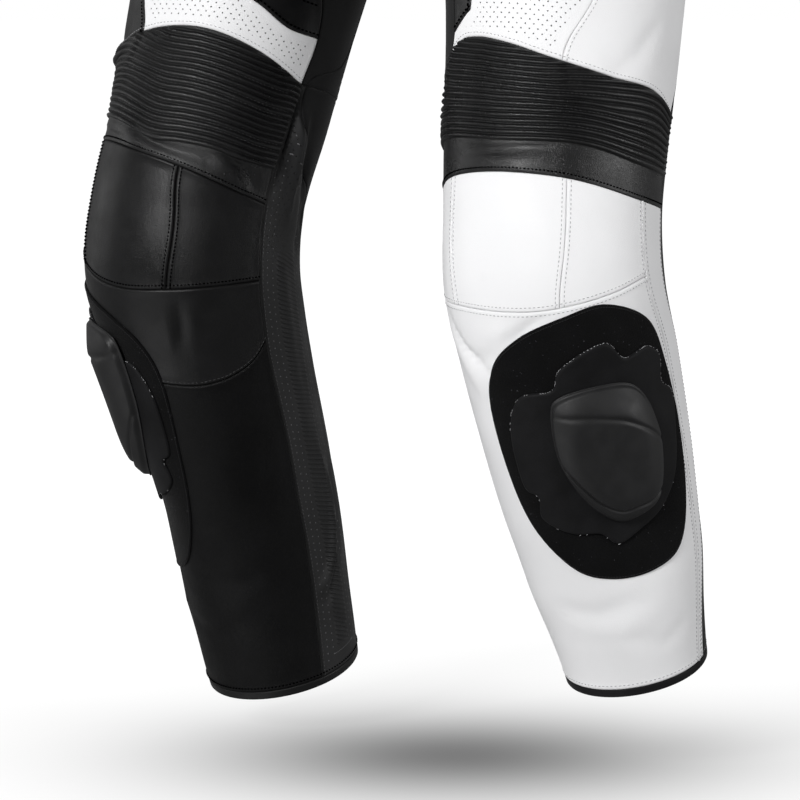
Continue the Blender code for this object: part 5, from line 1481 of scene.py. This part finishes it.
def valley_lines(leg, side):
    """Stitch lines at the bottom of some of the pleats, which are sewn down to the elastic behind them."""
    rows, cols = leg["rows"], leg["cols"]
    share = np.linspace(0, 1, RIB_ROWS + 1)
    lines = []
    for valley in SEWN_VALLEYS[side]:
        found = []
        for col in range(cols["medial"] + VALLEY_COLUMNS, cols["back"] - VALLEY_COLUMNS):
            angle = leg["angle"][rows["ribs"] : rows["band"] + 1, col]
            at = float(np.interp(valley, rib_phase(side, angle, share), share))
            if VALLEY_FREE < at < 1 - VALLEY_FREE:
                found.append((rows["ribs"] + int(round(at * RIB_ROWS)), col))
        if len(found) > VALLEY_POINTS:
            here = tuple(np.array(found).T)
            lines.append(placed(leg["points"][here], leg["normals"][here], side))
    return lines


def free_line(side, places):
    """Line over a leg through (angle, height) places, with its outward directions."""
    table = [(k, *place) for k, place in zip(np.linspace(0, 1, len(places)), places)]
    at = np.linspace(0, 1, FREE_LINE_POINTS)
    angle, height = column(table, 1, at), column(table, 2, at)
    middle = leg_point(angle, height, side)
    across = leg_point(angle + ANGLE_STEP, height, side) - middle
    along = leg_point(angle, height + HEIGHT_STEP, side) - middle
    return placed(middle, unit(np.cross(across, along)), side)


def sewing(legs):
    tree = surface_tree()
    for side, leg in legs.items():
        groups = {}
        for kind, seam, low, high, offsets, left_thread, right_thread in LEG_STITCHES:
            thread = left_thread if side == "left" else right_thread
            for offset in offsets if thread else ():
                groups.setdefault(thread, []).append(seam_path(leg, side, kind, seam, low, high, offset))
        groups["thread_grey"] += valley_lines(leg, side)
        for thread, places in FREE_STITCHES[side]:
            groups.setdefault(thread, []).append(free_line(side, places))
        for thread, lines in groups.items():
            threads(thread, side, lines, tree, thread)


def tube(name, points, out, key, slot):
    """Round cord along a line, half sunk in the cloth."""
    along = unit(np.gradient(points, axis=0))
    side = unit(np.cross(out, along))
    up = np.cross(along, side)
    turns = np.radians(np.arange(0, 360, 45))[None, :, None]
    rings = points[:, None] + PIPING_RADIUS * (np.cos(turns) * side[:, None] + np.sin(turns) * up[:, None])
    count, sides = rings.shape[:2]
    caps = [list(range(sides))[::-1], list(range((count - 1) * sides, count * sides))]
    obj = mesh_object(name, rings.reshape(-1, 3), ring_faces(count, sides).tolist() + caps, MATERIALS[key])
    outward_faces(obj)
    declare(obj, None, slot)


def piping(legs):
    """Corded seams: the calf panel's front edge, and the seam before the back of the leg."""
    for side, leg in legs.items():
        for seam in ("end", "side"):
            both = resampled(*seam_path(leg, side, "down", seam, "binding", "strip", 0.0), PIPING_STEP)
            step, out = np.arange(len(both)), unit(both[:, 3:])
            wave = PIPING_WAVE * np.sin(step * 0.55) * np.sin(step * 0.17)
            colour = "white" if side == "left" and seam == "side" else "black"
            tube(f"piping_{seam}_{side}", both[:, :3] + out * (LEATHER * PIPING_STAND + wave[:, None]), out, colour,
                 f"leather_{colour}")


# ---------------------------------------------------------------- zip

def zip_cloth(nets, collar):
    edges = [np.concatenate([nets[side]["hip_front"][:, 0], nets[side]["torso_front"][1:, 0]]) for side in SIDES]
    left = np.concatenate([edges[0], collar[1:, 0]])
    right = np.concatenate([mirrored(edges[1], "right"), collar[1:, -1]])
    middle = (left + right) / 2
    front = np.concatenate([nets["left"]["hip"][:, 0], nets["left"]["front"][1:, 0]])
    middle[: len(front)] = front
    middle[len(front) :, 1] = front[-1, 1]
    net = np.stack([middle * (1 - abs(share)) + (right if share < 0 else left) * abs(share)
                    for share in np.linspace(-1, 1, ZIP_LANES)], axis=1)
    relief = np.zeros(net.shape[:2])
    first = (ZIP_LANES - len(ZIP_COIL_FORM)) // 2
    relief[:, first : first + len(ZIP_COIL_FORM)] = ZIP_COIL * np.array(ZIP_COIL_FORM)
    cloth("front_zip", measured(net), "binding", thickness=STRETCH, relief=relief, puff=0.0, slot="zip_tape",
          held="hung")


# ---------------------------------------------------------------- stage

def stage():
    """White floor, with a soft shadow painted under the suit, and a white surround that only the camera sees."""
    floor_look = Shader("studio_floor", FLOOR_COLOUR, 0.9, 0.0)
    away = floor_look.node("ShaderNodeVectorMath", {0: floor_look.place()}, "Value", operation="LENGTH")
    reach = away.span(*FLOOR_FADE, FLOOR_GLOW, 1.0)
    # Painted shadow: the floor's glow and colour are darkened under the suit.
    pool = painted_shadow_pool(floor_look)
    floor_look.feed(floor_look.inputs["Emission Strength"], reach * pool)
    floor_look.tint(pool)
    size = SURROUND_RADIUS
    corners = [(-size, -size, 0), (size, -size, 0), (size, size, 0), (-size, size, 0)]
    floor = mesh_object("studio_floor", corners, [(0, 1, 2, 3)], floor_look.material)
    floor.location.z = FLOOR_HEIGHT
    surround_look = Shader("studio_surround", (0, 0, 0), 1.0, 0.0)
    surround_look.inputs["Emission Strength"].default_value = 1.0
    turns = np.radians(np.arange(0, 360, 10))
    levels = np.radians(np.arange(-80, 81, 10))
    ring = np.stack([np.cos(turns), np.sin(turns), 0 * turns], axis=-1)
    points = np.concatenate([size * (ring * math.cos(e) + (0, 0, math.sin(e))) for e in levels])
    caps = [tuple(range(len(turns))), tuple(range(len(points) - len(turns), len(points)))]
    surround = mesh_object("studio_surround", points, ring_faces(len(levels), len(turns)).tolist() + caps,
                           surround_look.material)
    for look, backdrop in ((floor_look, floor), (surround_look, surround)):
        look.inputs["Emission Color"].default_value = (1, 1, 1, 1)
        backdrop.visible_diffuse = backdrop.visible_glossy = backdrop.visible_transmission = False
        backdrop.visible_shadow = False
    world = bpy.data.worlds.new("studio")
    bpy.context.scene.world = world
    world.use_nodes = True
    background = world.node_tree.nodes["Background"].inputs
    background["Color"].default_value = (1.0, 1.0, 1.0, 1)
    background["Strength"].default_value = WORLD_LIGHT


# A shadow painted into the floor's colour and glow, not cast by the lights.
def painted_shadow_pool(shader):
    """1 far away and darkest under the suit: the soft drop shadow that the photograph has on its floor."""
    turn = math.radians(VIEW_AZIMUTH)
    squares = []
    for (x, y), size in zip(((math.cos(turn), math.sin(turn)), (math.sin(turn), -math.cos(turn))), PAINTED_SHADOW_SIZE):
        offset = shader.node("ShaderNodeVectorMath", {0: shader.place(), 1: (*PAINTED_SHADOW_AT, 0)}, operation="SUBTRACT")
        along = shader.node("ShaderNodeVectorMath", {0: offset, 1: (x / size, y / size, 0)}, "Value",
                            operation="DOT_PRODUCT")
        squares.append(along * along)
    return 1.0 - ((squares[0] + squares[1]) * -1.0).math("EXPONENT") * PAINTED_SHADOW_DEPTH


def aimed(name, data, target, azimuth, elevation, distance):
    """Puts a light or camera at a direction and distance from the target, looking at it."""
    a, e = math.radians(azimuth), math.radians(elevation)
    away = Vector((math.sin(a) * math.cos(e), -math.cos(a) * math.cos(e), math.sin(e)))
    obj = bpy.data.objects.new(name, data)
    obj.location = Vector(target) + away * distance
    obj.rotation_euler = away.to_track_quat("Z", "Y").to_euler()
    bpy.context.scene.collection.objects.link(obj)
    return obj


def camera():
    data = bpy.data.cameras.new("view")
    data.sensor_width = SENSOR
    data.lens = SENSOR * VIEW_DISTANCE / VIEW_WIDTH
    bpy.context.scene.camera = aimed("view", data, VIEW_TARGET, VIEW_AZIMUTH, VIEW_ELEVATION, VIEW_DISTANCE)


def lights():
    for name, azimuth, elevation, distance, size, power in LIGHTS:
        data = bpy.data.lights.new(name, "AREA")
        data.size, data.energy = size, power
        aimed(name, data, LIGHTS_TARGET, azimuth, elevation, distance)


# ---------------------------------------------------------------- the scene

def build():
    legs = {side: leg_net(side) for side in SIDES}
    for side, leg in legs.items():
        leg_cloth(side, leg)
        sliders(side)
    gusset(legs)
    nets, up = body_nets(legs)
    torso_pieces(nets)
    collar = collar_net(nets)
    cloth("collar", measured(collar), "black")
    zip_cloth(nets, collar)
    for side in SIDES:
        sleeve(side, nets[side], up)
    sewing(legs)
    piping(legs)
    for node in ("zip_slider", "zip_pull_tab"):
        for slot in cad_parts[node].material_slots:
            slot.material = MATERIALS["metal"]
    stage()
    camera()
    lights()
    bpy.context.scene.view_settings.view_transform = "Standard"


build()
